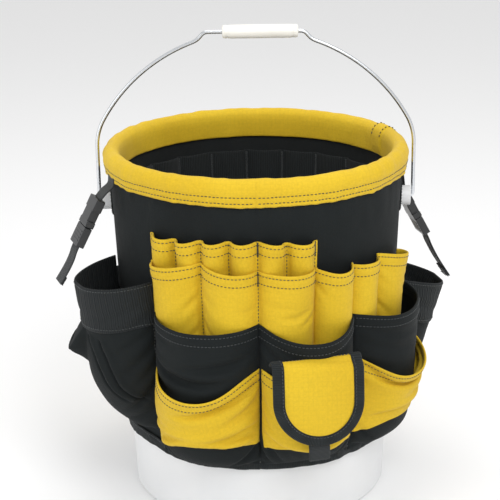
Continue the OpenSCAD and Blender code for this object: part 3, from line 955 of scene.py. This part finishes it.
def build_cuff():
    low_in = CUFF_LOW - 4
    inside = wall_r(low_in) + LINER_OUT - 1.2 - 2.6
    top = CUFF_TOP - 1.2
    line = spline([(inside, low_in), (inside - 0.6, low_in + 7), (inside - 0.8, top - 10),
                   (inside + 1.2, top - 3.2), (inside + 6.8, top), (CUFF_OUT - 3.4, top - 3.2),
                   (CUFF_OUT - 1.2, top - 9.0), (CUFF_OUT - 2.2, top - 15.0),
                   (wall_r(CUFF_LOW) + WRAP_FACE + 2.0, CUFF_LOW)], 1.5)
    p, az, s, t = ring_grid(line[:, :2], 1.7)
    normal = face_normals(p[::-1], True)[::-1]
    rows = len(line)
    creases = soft_noise(p.shape[:2], 41, 9, 5, ring=True)
    puckers = soft_noise(p.shape[:2], 42, 5, 1.6, ring=True)
    low = smooth((16 - t) / 8)
    outside = smooth((rows * 1.5 * 0.62 - t) / 8)
    lump = creases * (0.2 + 0.2 * (1 - low)) * (0.4 + 0.6 * outside) + puckers * 0.22 * low
    lump = 0.35 + np.maximum(lump, -0.35)
    for level in CUFF_ROWS:
        lump -= 0.5 * np.exp(-((t - level) / 1.2) ** 2)
    near = away(az, CUFF_SEAM)
    lump += 1.3 * (smooth((near + 4.2) / 0.7) * smooth((4.2 - near) / 0.7))[None] * smooth((t.max() - t) / 9)
    p = p + normal * lump[..., None]
    p[..., 2] += (low * 0.35 * waves(np.radians(az), 43, 5, 19)[None]) * (t < 14)
    normal = face_normals(p[::-1], True)[::-1]
    half = 1.1 + 0.35 * smooth((12.5 - t) / 1.5)
    flipped = [a[::-1] for a in (p, s, t, normal)]
    piece = shell("rim_cuff_cloth", flipped[0], half[::-1], flipped[1], flipped[2], YELLOW, "organizer",
                  closed=True, lip_low=True, normal=flipped[3])
    stand_for("rim_cuff")
    sewing = Thread()
    for level in CUFF_ROWS:
        ring_stitches(sewing, p, normal, t, level, 1.35, pitch=3.8, length=2.9)
    across = unit(np.roll(p, -1, 1) - np.roll(p, 1, 1))
    for edge in (-3.2, 3.2):
        c = int(np.argmin(np.abs(away(az, CUFF_SEAM + edge))))
        keep = t[:, c] < t.max() * 0.7
        sewing.run(p[keep, c], normal[keep, c], 1.35, pitch=3.6)
    c = int(np.argmin(np.abs(away(az, CUFF_SEAM))))
    keep = t[:, c] < 13
    sewing.tack(p[keep, c], normal[keep, c], across[keep, c], 1.4, width=5.0)
    stitches = sewing.make("rim_cuff_stitches", DARK_THREAD, "organizer", r=0.45)


HEM_WIDTH = 10.0               # depth of the binding on the wrap's lower edge


def hem_height(az):
    """Height of the wrap's wavy lower edge."""
    return HEM_Z + 3.0 + 2.2 * waves(np.radians(az), 44, 3, 9)


def holed(name, p, half, s, t, keep, material, body):
    """A closed ring of cloth with the cells where keep is false cut out and their edges walled."""
    n, m = p.shape[:2]
    normal = face_normals(p, True)
    outer, inner = p + normal * half, p - normal * half
    index = np.arange(n * m).reshape(n, m)
    other = index + n * m

    def around(a):
        return np.roll(a, -1, 1)
    cells = np.stack([index[:-1], around(index)[:-1], around(index)[1:], index[1:]], -1)
    back = np.stack([other[:-1], other[1:], around(other)[1:], around(other)[:-1]], -1)
    quads = [cells[keep], back[keep]]
    left = keep & ~np.roll(keep, 1, 1)
    right = keep & ~np.roll(keep, -1, 1)
    above = np.pad(keep, ((0, 1), (0, 0)))[1:]
    below = np.pad(keep, ((1, 0), (0, 0)))[:-1]
    for edge, a, b in ((left, cells[..., 0], cells[..., 3]), (right, cells[..., 2], cells[..., 1]),
                       (keep & ~above, cells[..., 3], cells[..., 2]),
                       (keep & ~below, cells[..., 1], cells[..., 0])):
        i, j = a[edge], b[edge]
        quads.append(np.stack([i, j, j + n * m, i + n * m], -1))
    verts = np.concatenate([outer.reshape(-1, 3), inner.reshape(-1, 3)])
    uv = np.stack([s, t], -1).reshape(-1, 2) * MM
    return new_mesh(name, verts, np.concatenate(quads), material, body, np.concatenate([uv, uv]))


EAR_HOLE = 10.8                # radius of the holes that the pail's ears come through


def build_wrap():
    top = PAIL_H - 12
    heights = np.linspace(0, 1, round((top - HEM_Z) / 2.4) + 1)
    line = np.stack([wall_r(HEM_Z + heights * (top - HEM_Z)), HEM_Z + heights * (top - HEM_Z)], -1)
    p, az, s, t = ring_grid(line, 2.4)
    z0 = hem_height(az)[None]
    z = z0 + heights[:, None] * (top - z0)
    folds = soft_noise(p.shape[:2], 45, 16, 4, ring=True)
    band = smooth((z - 300) / 18) * smooth((CUFF_LOW + 6 - z) / 6)
    off = WRAP_FACE - 0.7 + 0.35 * band * np.clip(folds + 0.3, -0.6, 2)
    p = at(az[None], wall_r(z) + off, z)
    ear_z = span("bail_wire", 2)[0] + 2.0
    keep = np.ones((p.shape[0] - 1, p.shape[1]), bool)
    centre = (p[:-1] + np.roll(p, -1, 1)[:-1] + p[1:] + np.roll(p, -1, 1)[1:]) / 4
    keep &= np.hypot(centre[..., 1], centre[..., 2] - ear_z) > EAR_HOLE
    reach = np.hypot(p[..., 1], p[..., 2] - ear_z)
    snap = (np.abs(reach - EAR_HOLE) < 1.7)
    grow = np.where(snap, EAR_HOLE / reach, 1.0)
    p[..., 1] *= grow
    p[..., 2] = ear_z + (p[..., 2] - ear_z) * grow
    piece = holed("outer_wrap_cloth", p, 0.65, s, t, keep, BLACK, "organizer")
    stand_for("outer_wrap")
    cover(np.concatenate([p, p[:, :1]], 1) + face_normals(p, True)[:, list(range(p.shape[1])) + [0]] * 0.65)
    return ear_z


def build_ear_patches(ear_z):
    """A stitched reinforcing ring round each slot that a pail ear comes through."""
    for side, name in ((-1, "left"), (1, "right")):
        turn = np.linspace(0, 2 * math.pi, 97)[:-1]
        spread = np.linspace(15.5, EAR_HOLE - 0.9, 9)
        y = side * spread[:, None] * np.cos(turn)[None]
        z = ear_z + spread[:, None] * np.sin(turn)[None]
        r = wall_r(z) + WRAP_FACE + 0.75
        x = side * np.sqrt(r ** 2 - y ** 2)
        p = np.stack([x, y, z], -1)
        s = np.radians(np.degrees(turn))[None] * spread[:, None]
        t = np.repeat((spread[0] - spread)[:, None], len(turn), 1) + 0 * s
        piece = shell(f"ear_patch_{name}", p, 0.6, s, t, BINDING, "organizer", closed=True, lip_low=True)
        sewing = Thread()
        normal = face_normals(p, True)
        ring_stitches(sewing, p, normal, t, 1.4, 0.6, pitch=3.2, length=2.3)
        sewing.make(f"ear_patch_{name}_stitches", GREY_THREAD, "organizer", r=0.38)


def build_hem():
    """The binding folded over the wrap's lower edge, laid over whatever hangs down to it."""
    profile = spline([(-1.6, 8.0), (-1.9, 1.0), (-0.9, -1.4), (1.0, -1.2), (1.7, 1.2), (1.3, HEM_WIDTH)], 1.0)
    count = round(2 * math.pi * wall_r(HEM_Z) / 1.1)
    az = np.arange(count) * 360 / count
    base_z = hem_height(az)
    lift = relief_at(az, base_z + 4) - wall_r(base_z) - WRAP_FACE
    smoothing = np.hanning(25) / np.hanning(25).sum()
    lift = np.convolve(np.concatenate([lift[-12:], lift, lift[:12]]), smoothing, "valid")
    crimp = 0.25 * soft_noise((len(profile), count), 46, 2, 3, ring=True)
    z = base_z[None] + profile[:, 1:]
    inner = profile[:, :1] < 0
    r = wall_r(z) + WRAP_FACE + profile[:, :1] + np.where(inner, 0, lift[None] + 0.3)
    r = r + np.where(inner, 0, crimp)
    p = at(az[None], np.maximum(r, wall_r(z) + 0.9), z)
    step = np.concatenate([[0], np.cumsum(np.hypot(*np.diff(profile, axis=0).T))])
    s = np.radians(az)[None] * wall_r(HEM_Z) + 0 * z
    t = (step[-1] - step)[:, None] + 0 * z
    normal = face_normals(p, True)
    piece = shell("hem_binding_tape", p, 0.45, s, t, BINDING, "organizer", closed=True,
                  lip_low=True, normal=normal)
    stand_for("hem_binding")
    sewing = Thread()
    ring_stitches(sewing, p, normal, t, 1.6, 0.45, pitch=3.6)
    stitches = sewing.make("hem_binding_stitches", GREY_THREAD, "organizer", r=0.38)
    2 * math.pi * wall_r(HEM_Z) * MM


def inner_band(name, node, gap_in, loops, depth, cloth, tack_width, seed, closed_low):
    """A band sewn inside the liner in loops that stand in from it, between bar tacks."""
    z0, z1 = span(node, 2)
    rows = round((z1 - z0) / 2.0)
    v = np.linspace(0, 1, rows + 1)
    line = np.stack([wall_r(z0 + v * (z1 - z0)) - gap_in, z0 + v * (z1 - z0)], -1)
    p, az, s, t = ring_grid(line, 1.9)
    seams = np.arange(loops) * 360 / loops + 4
    phase = ((az - seams[0]) % (360 / loops)) / (360 / loops)
    bulge = np.clip(np.sin(math.pi * phase), 0, 1) ** 0.75
    bulge[np.minimum(phase, 1 - phase) * 360 / loops < 0.9] = 0
    height = smooth(v / 0.25)[:, None] if closed_low else np.ones((len(v), 1))
    uneven = 1 + 0.25 * waves(np.radians(az), seed, 3, 11)
    off = depth * bulge * uneven * height + 0.2 * soft_noise(p.shape[:2], seed, 6, 3, ring=True) * bulge
    p = at(az[None], line[:, :1] - off, line[:, 1:])
    p[..., 2] -= 0.10 * off * (1 if closed_low else 0.0)
    mirrored = p[:, ::-1]
    normal = face_normals(mirrored, True)
    piece = shell(name, mirrored, 0.55, s[:, ::-1], t[:, ::-1], cloth, "organizer", closed=True,
                  lip_low=True, normal=normal)
    stand_for(node)
    sewing = Thread()
    inward = normal[:, ::-1]
    across = unit(np.roll(p, -1, 1) - np.roll(p, 1, 1))
    for seam in seams:
        c = int(np.argmin(np.abs(away(az, seam))))
        sewing.tack(p[1:-1, c], inward[1:-1, c], across[1:-1, c], 0.6, width=tack_width, pitch=1.2)
    stitches = sewing.make(name + "_stitches", GREY_THREAD, "organizer", r=0.4)
    cloth_length = np.linalg.norm(np.diff(p, axis=1), axis=-1).sum(1).mean() + s[0, 1] - s[0, 0]


def build_liner():
    z0, z1 = span("inner_liner", 2)
    v = np.linspace(0, 1, round((z1 - z0) / 3.2) + 1)
    line = np.stack([wall_r(z0 + v * (z1 - z0)) + LINER_OUT - 0.6, z0 + v * (z1 - z0)], -1)
    p, az, s, t = ring_grid(line, 3.0)
    creases = np.clip(soft_noise(p.shape[:2], 47, 10, 4, ring=True) + 0.2, 0, 2)
    p = at(az[None], line[:, :1] - 0.25 * creases, line[:, 1:])
    mirrored = p[:, ::-1]
    piece = shell("inner_liner_cloth", mirrored, 0.5, s[:, ::-1], t[:, ::-1], LINING, "organizer",
                  closed=True, lip_low=True)
    stand_for("inner_liner")
    inner_band("inner_elastic_upper_band", "inner_elastic_upper", 5.3, 22, 5.0, ELASTIC, 3.0, 48, False)
    inner_band("inner_pocket_panel_cloth", "inner_pocket_panel", 5.3, 8, 5.5, BLACK, 3.0, 49, True)
    inner_band("inner_elastic_lower_band", "inner_elastic_lower", 13.0, 22, 4.0, ELASTIC, 3.0, 50, False)


ear_z = build_wrap()
build_ear_patches(ear_z)
build_cuff()
build_liner()


# ---------- side pouches ----------

BAND = 44.0                    # depth of a pouch's ribbed band
RIB = 3.2                      # pitch of the band's ribs


def edge_distance(s, t, a, b):
    """Signed distance of flat points from the line a to b, positive on its left."""
    dx, dy = b[0] - a[0], b[1] - a[1]
    return ((s - a[0]) * dy - (t - a[1]) * dx) / math.hypot(dx, dy)


def corner_fold(s, t, corners, tip, height):
    """Height of a pyramid fold over a flat four-sided patch; its first side is a free, steep edge."""
    sides = list(zip(corners, corners[1:] + corners[:1]))
    face = np.full(s.shape, 1e9)
    for a, b in sides[1:]:
        reach = edge_distance(tip[0], tip[1], a, b)
        face = np.minimum(face, edge_distance(s, t, a, b) / reach)
    cliff = edge_distance(s, t, *sides[0]) / edge_distance(tip[0], tip[1], *sides[0])
    return height * np.clip(face, 0, 1) * smooth(cliff * 7)


def build_pouch(name, seams, top, floor_z, low_out, top_out, seed, pleats, fold=None):
    panel = Pockets(seams, top, floor_z, low_out, top_out, 1, grow=0.42, slack=1.006, seed=seed, reach=8,
                    margins=False, extra=0.35)
    p, s, t, normal = panel.p, panel.s, panel.t, panel.normal
    width = s[-1].max()
    for start, end, depth in pleats:
        a = (start[0] * width, start[1])
        b = (end[0] * width, end[1])
        run = np.clip((t - a[1]) / (b[1] - a[1]), 0, 1)
        where = a[0] + run * (b[0] - a[0])
        inside = smooth((t - a[1]) / 6) * smooth((b[1] - t) / 14)
        side = (s - where)
        p = p - normal * (depth * inside * np.exp(-(side / 1.7) ** 2))[..., None]
        p = p + normal * (0.55 * depth * inside * np.exp(-((side - 5.5) / 3.6) ** 2))[..., None]
    if fold:
        corners, tip, height = fold
        corners = [(a * width, b) for a, b in corners]
        p = p + normal * corner_fold(s, t, corners, (tip[0] * width, tip[1]), height)[..., None]
    normal = face_normals(p)
    rows = t.mean(1)
    j = int(np.argmin(np.abs(rows - BAND)))
    body = slice(0, j + 3)
    half = np.full(t.shape, CLOTH / 2)
    piece = shell(name + "_cloth", p[body], half[body], s[body], t[body], BLACK, "organizer",
                  normal=normal[body])
    stand_for(name)
    sewing = Thread()
    for c in (panel.seam_cols[0] + 2, panel.seam_cols[-1] - 2):
        sewing.run(p[body][::-1, c], normal[body][::-1, c], 0.7, pitch=3.6)
    stitches = sewing.make(name + "_stitches", GREY_THREAD, "organizer", r=0.4)
    bp, bs, bt = (refine(a[j:] if a.ndim == 3 else a[j:, :, None], 1) for a in (p, s, t))
    bs, bt = bs[..., 0], bt[..., 0]
    bn = face_normals(bp)
    plain = smooth((bt - 3.0) / 1.5) * smooth((bt.max() - 2.0 - bt) / 1.5)
    rib = 0.42 * plain * (0.5 - 0.5 * np.cos(2 * math.pi * bs / RIB))
    bp = bp + bn * (0.95 + rib)[..., None]
    band = shell(name + "_band_elastic", bp, 1.05, bs, bt, ELASTIC, "organizer", lip_low=True, normal=bn)
    stand_for(name + "_band")
    sewing = Thread()
    for level in (1.6, float(bt[0].mean()) - 2.2):
        sewing.run(line_at(bp, bt, level), unit(line_at(bn, bt, level)), 1.1, pitch=3.3)
    stitches = sewing.make(name + "_band_stitches", GREY_THREAD, "organizer", r=0.4)
    cover(p + normal * 0.65)
    cover(bp + bn * 1.1)


def build_pouches():
    z0, z1 = span("side_pouch_left", 2)[0], span("side_pouch_left_band", 2)[1]
    slits = [((0.50, 50), (0.66, 128), 4.0), ((0.60, 52), (0.74, 132), 3.0)]
    fold = ([(0.36, 94), (0.50, 44), (0.10, 44), (0.05, 96)], (0.20, 74), 19.0)
    build_pouch("side_pouch_left", [-83.0, -44.0], [(-83, z1), (-63, z1 - 2), (-44, z1 + 2)], z0 + 2,
                41, 45, 61, slits, fold)
    z0, z1 = span("side_pouch_right", 2)[0], span("side_pouch_right_band", 2)[1]
    slits = [((0.44, 50), (0.42, 104), 3.5), ((0.56, 50), (0.58, 104), 3.5)]
    build_pouch("side_pouch_right", [86.5, 123.5], [(86.5, z1 + 2), (105, z1 - 2), (123.5, z1)], z0 + 2,
                28, 52, 62, slits)
    z0, z1 = span("side_pouch_rear", 2)[0], span("side_pouch_rear_band", 2)[1]
    build_pouch("side_pouch_rear", [-123.5, -86.5], [(-123.5, z1), (-105, z1 - 2), (-86.5, z1 + 2)], z0 + 2,
                28, 50, 63, slits)


# ---------- the flap ----------

STRAP_WIDTH = 20.0             # width of the straps' and pull tab's webbing
FLAP_HALF = 45.3               # half the flap's width
FLAP_TAPE = 10.0               # depth of its binding
FLAP_SHORT = 12                # how far its lowest point is above its solid's


def facing(x, d, z):
    """A point x across, d out and z up, on the flap's side of the pail."""
    a = math.radians(FLAP_AZ)
    x, d, z = np.broadcast_arrays(np.asarray(x, float), np.asarray(d, float), np.asarray(z, float))
    return np.stack([x * math.cos(a) + d * math.sin(a), x * math.sin(a) - d * math.cos(a), z], -1)


def relief_facing(x, z, d):
    """How far out the cloth behind the flap reaches, x across and at height z."""
    az = FLAP_AZ + np.degrees(np.arctan2(x, d))
    return np.sqrt(np.maximum(relief_at(az, z) ** 2 - np.asarray(x, float) ** 2, 1))


def flap_surface(hinge, low_z):
    """Returns place(x, y): the point x across and y down along the flap from its sewn edge."""
    top = hinge[2]
    back = math.hypot(hinge[0], hinge[1])
    front = back + 9.0
    profile = spline([(back - 4.5, top - 4.5), (back - 0.5, top - 2.8), (back + 5.0, top - 5.0),
                      (front - 0.8, top - 11.0), (front + 0.6, top - 24.0), (front + 1.4, (top + low_z) / 2),
                      (front + 1.0, low_z + 22), (front - 0.6, low_z)], 0.5)
    run = np.concatenate([[0], np.cumsum(np.hypot(*np.diff(profile, axis=0).T))])
    length = run[-1]

    def place(x, y):
        x, y = np.broadcast_arrays(np.asarray(x, float), np.asarray(y, float))
        d = np.interp(y, run, profile[:, 0]) - x ** 2 / 700 * smooth(y / 25)
        z = np.interp(y, run, profile[:, 1]) - np.clip(y - length, 0, None)
        z = z - 0.11 * (x + 20) * smooth(y / 8)
        d = d + 0.5 * np.sin(x / 17 + 1.0) * smooth((y - 40) / 40)
        return facing(x, d, z)
    return place, length


def build_flap():
    hinge = joint_place("flap_hinge")
    low_z = span("flap_binding", 2)[0] + FLAP_SHORT
    place, length = flap_surface(hinge, low_z)
    round_r = FLAP_HALF

    def end_at(x, inset):
        r = round_r - inset
        return length - round_r + np.sqrt(np.maximum(r * r - x * x, 0))
    inner = 4.0
    x = (FLAP_HALF - inner) * np.sin(np.linspace(-1, 1, 61) * math.pi / 2)
    v = np.linspace(1, 0, 73)[:, None]
    y = v * end_at(x, inner)[None]
    p = place(x[None] + 0 * y, y)
    dent = soft_noise(p.shape[:2], 71, 12, 12)
    normal = face_normals(p)
    p = p + normal * (0.5 * dent * smooth(y / 20))[..., None]
    normal = face_normals(p)
    panel = shell("flap_panel_cloth", p, 0.8, x[None] + 0 * y, y, YELLOW, "flap", lip_top=False,
                  normal=normal)
    stand_for("flap_panel")
    straight = length - round_r
    arc = math.pi * round_r
    total = 2 * straight + arc
    q = np.linspace(0, total, round(total / 0.42) + 1)
    turn = np.clip((q - straight) / round_r, 0, math.pi)
    left, right = q < straight, q > straight + arc
    edge_x = np.where(left, -round_r, np.where(right, round_r, -round_r * np.cos(turn)))
    edge_y = np.where(left, q, np.where(right, total - q, straight + round_r * np.sin(turn)))
    in_x = np.where(left, 1.0, np.where(right, -1.0, np.cos(turn)))
    in_y = np.where(left | right, 0.0, -np.sin(turn))
    fold = spline([(FLAP_TAPE, -1.25), (1.2, -1.3), (-0.5, 0.0), (1.2, 1.3), (FLAP_TAPE, 1.25)], 0.9)
    step = 0.5

    def frame_at(gx, gy):
        here = place(gx, gy)
        du = place(gx + step, gy) - place(gx - step, gy)
        dv = place(gx, gy - step) - place(gx, gy + step)
        return here, unit(np.cross(du, dv))
    gx = edge_x[None] + in_x[None] * fold[:, :1]
    gy = np.clip(edge_y[None] + in_y[None] * fold[:, :1], 0, None)
    here, up = frame_at(gx, gy)
    ribs = 0.16 * np.sin(2 * math.pi * q / 1.7)[None]
    bound = here + up * (fold[:, 1:] + np.sign(fold[:, 1:]) * ribs)[..., None]
    run = np.concatenate([[0], np.cumsum(np.hypot(*np.diff(fold, axis=0).T))])
    tape = shell("flap_binding_tape", bound, 0.42, q[None] + 0 * gx, run[:, None] + 0 * gx, BINDING, "flap",
                 lip_low=True)
    stand_for("flap_binding")
    sewing = Thread()
    inset = FLAP_TAPE - 1.6
    line, up = frame_at(edge_x + in_x * inset, np.clip(edge_y + in_y * inset, 0, None))
    sewing.run(line, up, 1.75, pitch=3.4)
    across = np.linspace(-FLAP_HALF + 3, FLAP_HALF - 3, 60)
    line, up = frame_at(across, 0 * across + 1.8)
    sewing.run(line, up, 0.95, pitch=3.4)
    stitches = sewing.make("flap_stitches", GREY_THREAD, "flap", r=0.4)
    build_tab(frame_at, length)
    build_patches(frame_at)


def ribbon(name, line, side, width, half, material, body):
    """A flat strap along a line of points, side giving the direction across it."""
    across = np.linspace(-0.5, 0.5, 9)
    p = line[None] + across[:, None, None] * width * side[None]
    step = along_line(line)
    s = step[None] + 0 * across[:, None]
    t = (0.5 - across)[:, None] * width + 0 * s
    thick = half * (0.72 + 0.28 * smooth((0.5 - np.abs(across)) / 0.07))[:, None] + 0 * s
    return shell(name, p, thick, t, s, material, body, lip_low=True)


def build_tab(frame_at, length):
    """The pull tab: a short length of webbing doubled over and sewn under the flap's binding."""
    low, high = span("flap_pull_tab", 2)
    drop = high - low - 1.2
    path = spline([(-7.0, -0.95), (drop - 1.5, -0.95), (drop, 0.0), (drop - 1.5, 0.95), (-7.0, 0.95)], 1.0)
    here, up = frame_at(np.zeros(len(path)), length + path[:, 0])
    line = here + up * (path[:, 1:] - 2.6 * smooth((4 - path[:, :1]) / 8))
    side = facing(1, 0, 0) - facing(0, 0, 0)
    tab = ribbon("flap_pull_tab_webbing", line, np.repeat(side[None], len(line), 0), STRAP_WIDTH, 0.7,
                 WEBBING, "flap")
    stand_for("flap_pull_tab")


def build_patches(frame_at):
    """The flap's hook patch, and the loop patch that it presses on."""
    size = 24.0
    low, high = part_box("loop_patch")
    z0, z1 = low[2] / MM, high[2] / MM
    g = np.linspace(-size / 2, size / 2, 33)
    z = np.linspace(z0, z1, 33)[:, None] + 0 * g[None]
    x = g[None] + 0 * z
    rough = 0.16 * np.random.default_rng(75).normal(size=x.shape)
    d = relief_facing(x, z, 185.0) + 0.75
    p = facing(x, d + rough, z)
    loop = shell("loop_patch_pile", p, 0.5, x + size, z, PILE, "organizer", lip_low=True)
    stand_for("loop_patch")
    y = np.linspace(1, 0, 33)[:, None] * size + 62.0 + 0 * g[None]
    here, up = frame_at(x, y)
    under = here - up * (1.75 + rough[..., None] * 0.6)
    hook = shell("flap_hook_pile", under, 0.45, x + size, y, PILE, "flap", lip_low=True)
    stand_for("flap_hook_patch")


# ---------- bail and grip ----------

def tube(name, path, radius, material, body, sides=16):
    """A round wire along a path, with closed ends."""
    path = np.array(path)
    along = unit(np.gradient(path, axis=0))
    up = np.zeros_like(path)
    up[0] = unit(np.cross(along[0], [0.0, 1.0, 0.0]) + 1e-6)
    for k in range(1, len(path)):
        up[k] = unit(up[k - 1] - along[k] * np.dot(up[k - 1], along[k]))
    side = np.cross(along, up)
    turn = np.arange(sides) * 2 * math.pi / sides
    radius = np.broadcast_to(radius, (len(path),))
    ring = np.cos(turn)[None, :, None] * up[:, None] + np.sin(turn)[None, :, None] * side[:, None]
    verts = path[:, None] + ring * radius[:, None, None]
    index = np.arange(len(path) * sides).reshape(len(path), sides)
    after = np.roll(index, -1, 1)
    quads = np.stack([index[:-1], after[:-1], after[1:], index[1:]], -1).reshape(-1, 4)
    return new_mesh(name, verts.reshape(-1, 3), quads, material, body, caps=[index[:1, ::-1], index[-1:]])


def bend(a, b, c, where):
    """Points of a rounded corner from a to c, drawn towards b, in the plane of the bail."""
    points = []
    for t in where:
        q = (1 - t) ** 2 * a + 2 * t * (1 - t) * b + t * t * c
        points.append((q[0], 0, q[1]))
    return points


def build_bail():
    hinge = joint_place("bail_hinge")
    grip = joint_place("grip_spin")
    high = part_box("bail_wire")[1]
    wire_r = high[1] / MM
    leg_x = high[0] / MM - wire_r
    top_z = grip[2]
    bow_r = top_z + 1 - (hinge[2] - 4.5)
    bow_z = top_z + 1 - bow_r
    start = math.acos(leg_x / bow_r)
    end = math.radians(71)
    half = []
    ear_x = float(wall_r(hinge[2])) + 3.0
    half.append((ear_x, 0, hinge[2]))
    corner = np.array([leg_x, hinge[2]])
    half += bend(corner - np.array([4.0, 0]), corner, corner + np.array([0, 4.0]), np.linspace(0, 1, 9))
    lead = bow_z + bow_r * math.sin(start)
    for z in np.linspace(hinge[2] + 8, lead - 14, 8):
        half.append((leg_x, 0, z))
    knee = 14.0
    a = np.array([leg_x, lead - knee])
    c = np.array([bow_r * math.cos(start + knee / bow_r), bow_z + bow_r * math.sin(start + knee / bow_r)])
    half += bend(a, np.array([leg_x, lead]), c, np.linspace(0.1, 1, 9))
    for angle in np.linspace(start + 1.25 * knee / bow_r, end - 0.03, 40):
        half.append((bow_r * math.cos(angle), 0, bow_z + bow_r * math.sin(angle)))
    shoulder = np.array([bow_r * math.cos(end), bow_z + bow_r * math.sin(end)])
    flat_start = np.array([50.0, top_z])
    before = np.array([half[-1][0], half[-1][2]])
    rise = unit(flat_start - shoulder)
    half += bend(before, shoulder, shoulder + rise * 4, np.linspace(0.12, 1, 7))
    first = flat_start - rise * 4
    half += bend(first, flat_start, flat_start - np.array([4.0, 0]), np.linspace(0, 1, 7))
    half += [(x, 0, top_z) for x in np.linspace(42, 4, 9)]
    right = np.array(half)
    left = right[::-1] * np.array([-1, 1, 1])
    wire = tube("bail_wire_bent", np.concatenate([right, left]), wire_r, ZINC, "bail")
    stand_for("bail_wire")
    build_grip(grip)


def build_grip(centre):
    low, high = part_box("bail_grip")
    x0, x1 = low[0] / MM, high[0] / MM
    outer = high[1] / MM
    inner = 2.08
    length = x1 - x0
    shape = [(0, inner), (0, outer - 2.2), (0.5, outer - 1.0), (1.8, outer - 0.35), (4.5, outer - 0.30),
             (5.2, outer - 0.75), (6.0, outer - 0.30), (9.0, outer - 0.12), (length / 2, outer - 0.02)]
    shape += [(length - a, b) for a, b in shape[-2::-1]]
    stations = np.array(shape)
    sides = 48
    turn = np.arange(sides) * 2 * math.pi / sides
    line = 0.16 * sum(np.exp(-(away(np.degrees(turn), seam) / 6) ** 2) for seam in (0, 180))
    r = stations[:, 1:] + line[None] * (stations[:, 1:] > outer - 1)
    x = x0 + stations[:, :1] + 0 * r
    verts = np.stack([x, r * np.cos(turn)[None], centre[2] + r * np.sin(turn)[None]], -1)
    index = np.arange(verts.shape[0] * sides).reshape(-1, sides)
    after = np.roll(index, -1, 1)
    up, both = np.roll(index, -1, 0), np.roll(after, -1, 0)
    quads = np.stack([index, up, both, after], -1).reshape(-1, 4)
    grip = new_mesh("bail_grip_sleeve", verts.reshape(-1, 3), quads, GRIP, "grip")
    stand_for("bail_grip")


# ---------- straps ----------

STRAP_HALF = 0.75              # half the webbing's thickness
PRONGS_AT = 30                 # where the prongs' body starts, down from the top of the socket
PRONGS_BODY = 22.0
TAIL_SHORT = 9                 # how much the free tail ends before its solid does

def build_strap(side, az, buckle, lean):
    """One strap: webbing from under the cuff to a side-release buckle, and the tail below it."""
    hinge = joint_place(f"strap_{side}_swing")
    a = math.radians(az)
    out = np.array([math.sin(a), -math.cos(a), 0.0])
    across = np.array([math.cos(a), math.sin(a), 0.0])
    lean = math.radians(lean)
    down = out * math.sin(lean) + np.array([0, 0, -math.cos(lean)])
    face = np.cross(across, down)
    r0, z0 = math.hypot(hinge[0], hinge[1]), hinge[2]
    socket = out * buckle[0] + np.array([0, 0, buckle[1]])
    path = spline([(r0 - 1.6, z0 + 16), (r0 - 0.6, z0 + 7), (r0 + 0.6, z0),
                   (r0 * 0.55 + buckle[0] * 0.45 + 1.2, z0 * 0.55 + buckle[1] * 0.45),
                   (buckle[0], buckle[1]),
                   (buckle[0] + 3 * math.sin(lean), buckle[1] - 3 * math.cos(lean))], 1.5)
    line = out[None] * path[:, :1] + np.array([0, 0, 1.0])[None] * path[:, 1:]
    strap = ribbon(f"strap_{side}_webbing_strip", line, np.repeat(across[None], len(line), 0),
                   STRAP_WIDTH, STRAP_HALF, WEBBING, None)
    stand_for(f"strap_{side}_webbing")
    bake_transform(strap)
    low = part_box(f"strap_{side}_tail")[0][2] / MM
    start = PRONGS_AT + PRONGS_BODY
    reach = (buckle[1] - low) / math.cos(lean)
    where = np.linspace(start - 4, reach - TAIL_SHORT, 60)
    wave = 1.4 * np.sin((where - start) / (reach - start) * math.pi * 1.3) * smooth((where - start) / 14)
    line = socket[None] + down[None] * where[:, None] + face[None] * wave[:, None]
    tail = ribbon(f"strap_{side}_tail_strip", line, np.repeat(across[None], len(line), 0),
                  STRAP_WIDTH, STRAP_HALF, WEBBING, f"tail_{side}")
    stand_for(f"strap_{side}_tail")
    fold = ribbon(f"strap_{side}_tail_fold", line[-12:] + face[None] * 1.62,
                  np.repeat(across[None], 12, 0), 19.6, 0.7, WEBBING, f"tail_{side}")
    sewing = Thread()
    cross = np.stack([line[-9] + across * k for k in np.linspace(-8.5, 8.5, 12)])
    sewing.run(cross, np.repeat(face[None], 12, 0), 2.4, pitch=3.2, length=2.4, start=0.5)
    sewing.run(cross + down * 7, np.repeat(face[None], 12, 0), 2.4, pitch=3.2, length=2.4, start=0.5)
    stitches = sewing.make(f"strap_{side}_tail_stitches", GREY_THREAD, f"tail_{side}", r=0.4)
    for node in (f"strap_{side}_socket", f"strap_{side}_prongs"):
        soften(frame["nodes"][node], 0.9, BUCKLE)
    ridge_line = [socket + down * (36 + 3.4 * k) for k in range(4)]
    for k, place in enumerate(ridge_line):
        for front in (1, -1):
            path = [place + across * x + face * front * 3.75 for x in np.linspace(-9.5, 9.5, 15)]
            ridge = tube(f"strap_{side}_ridge_{k}_{'front' if front > 0 else 'back'}", path,
                         0.75, BUCKLE, f"tail_{side}", sides=10)


def soften(node, width, material):
    """Rounds a moulded piece's edges and gives it its material."""
    node.data.materials.clear()
    node.data.materials.append(material)
    weld = node.modifiers.new("weld", "WELD")
    weld.merge_threshold = 0.00002
    bevel = node.modifiers.new("bevel", "BEVEL")
    bevel.width = width * MM
    bevel.segments = 3
    bevel.limit_method = "ANGLE"
    bevel.angle_limit = math.radians(40)
    node.modifiers.new("normals", "WEIGHTED_NORMAL")


def build_pail():
    pail = frame["nodes"]["pail_shell"]
    pail.data.materials.clear()
    pail.data.materials.append(PAIL)


build_front()
build_black()
build_parts()
build_rear()
build_pouches()
build_hem()
build_flap()
build_bail()
build_strap("left", -70, (167.0, 326.0), 28.5)
build_strap("right", 105, (160.5, 299.0), 28.6)
build_pail()
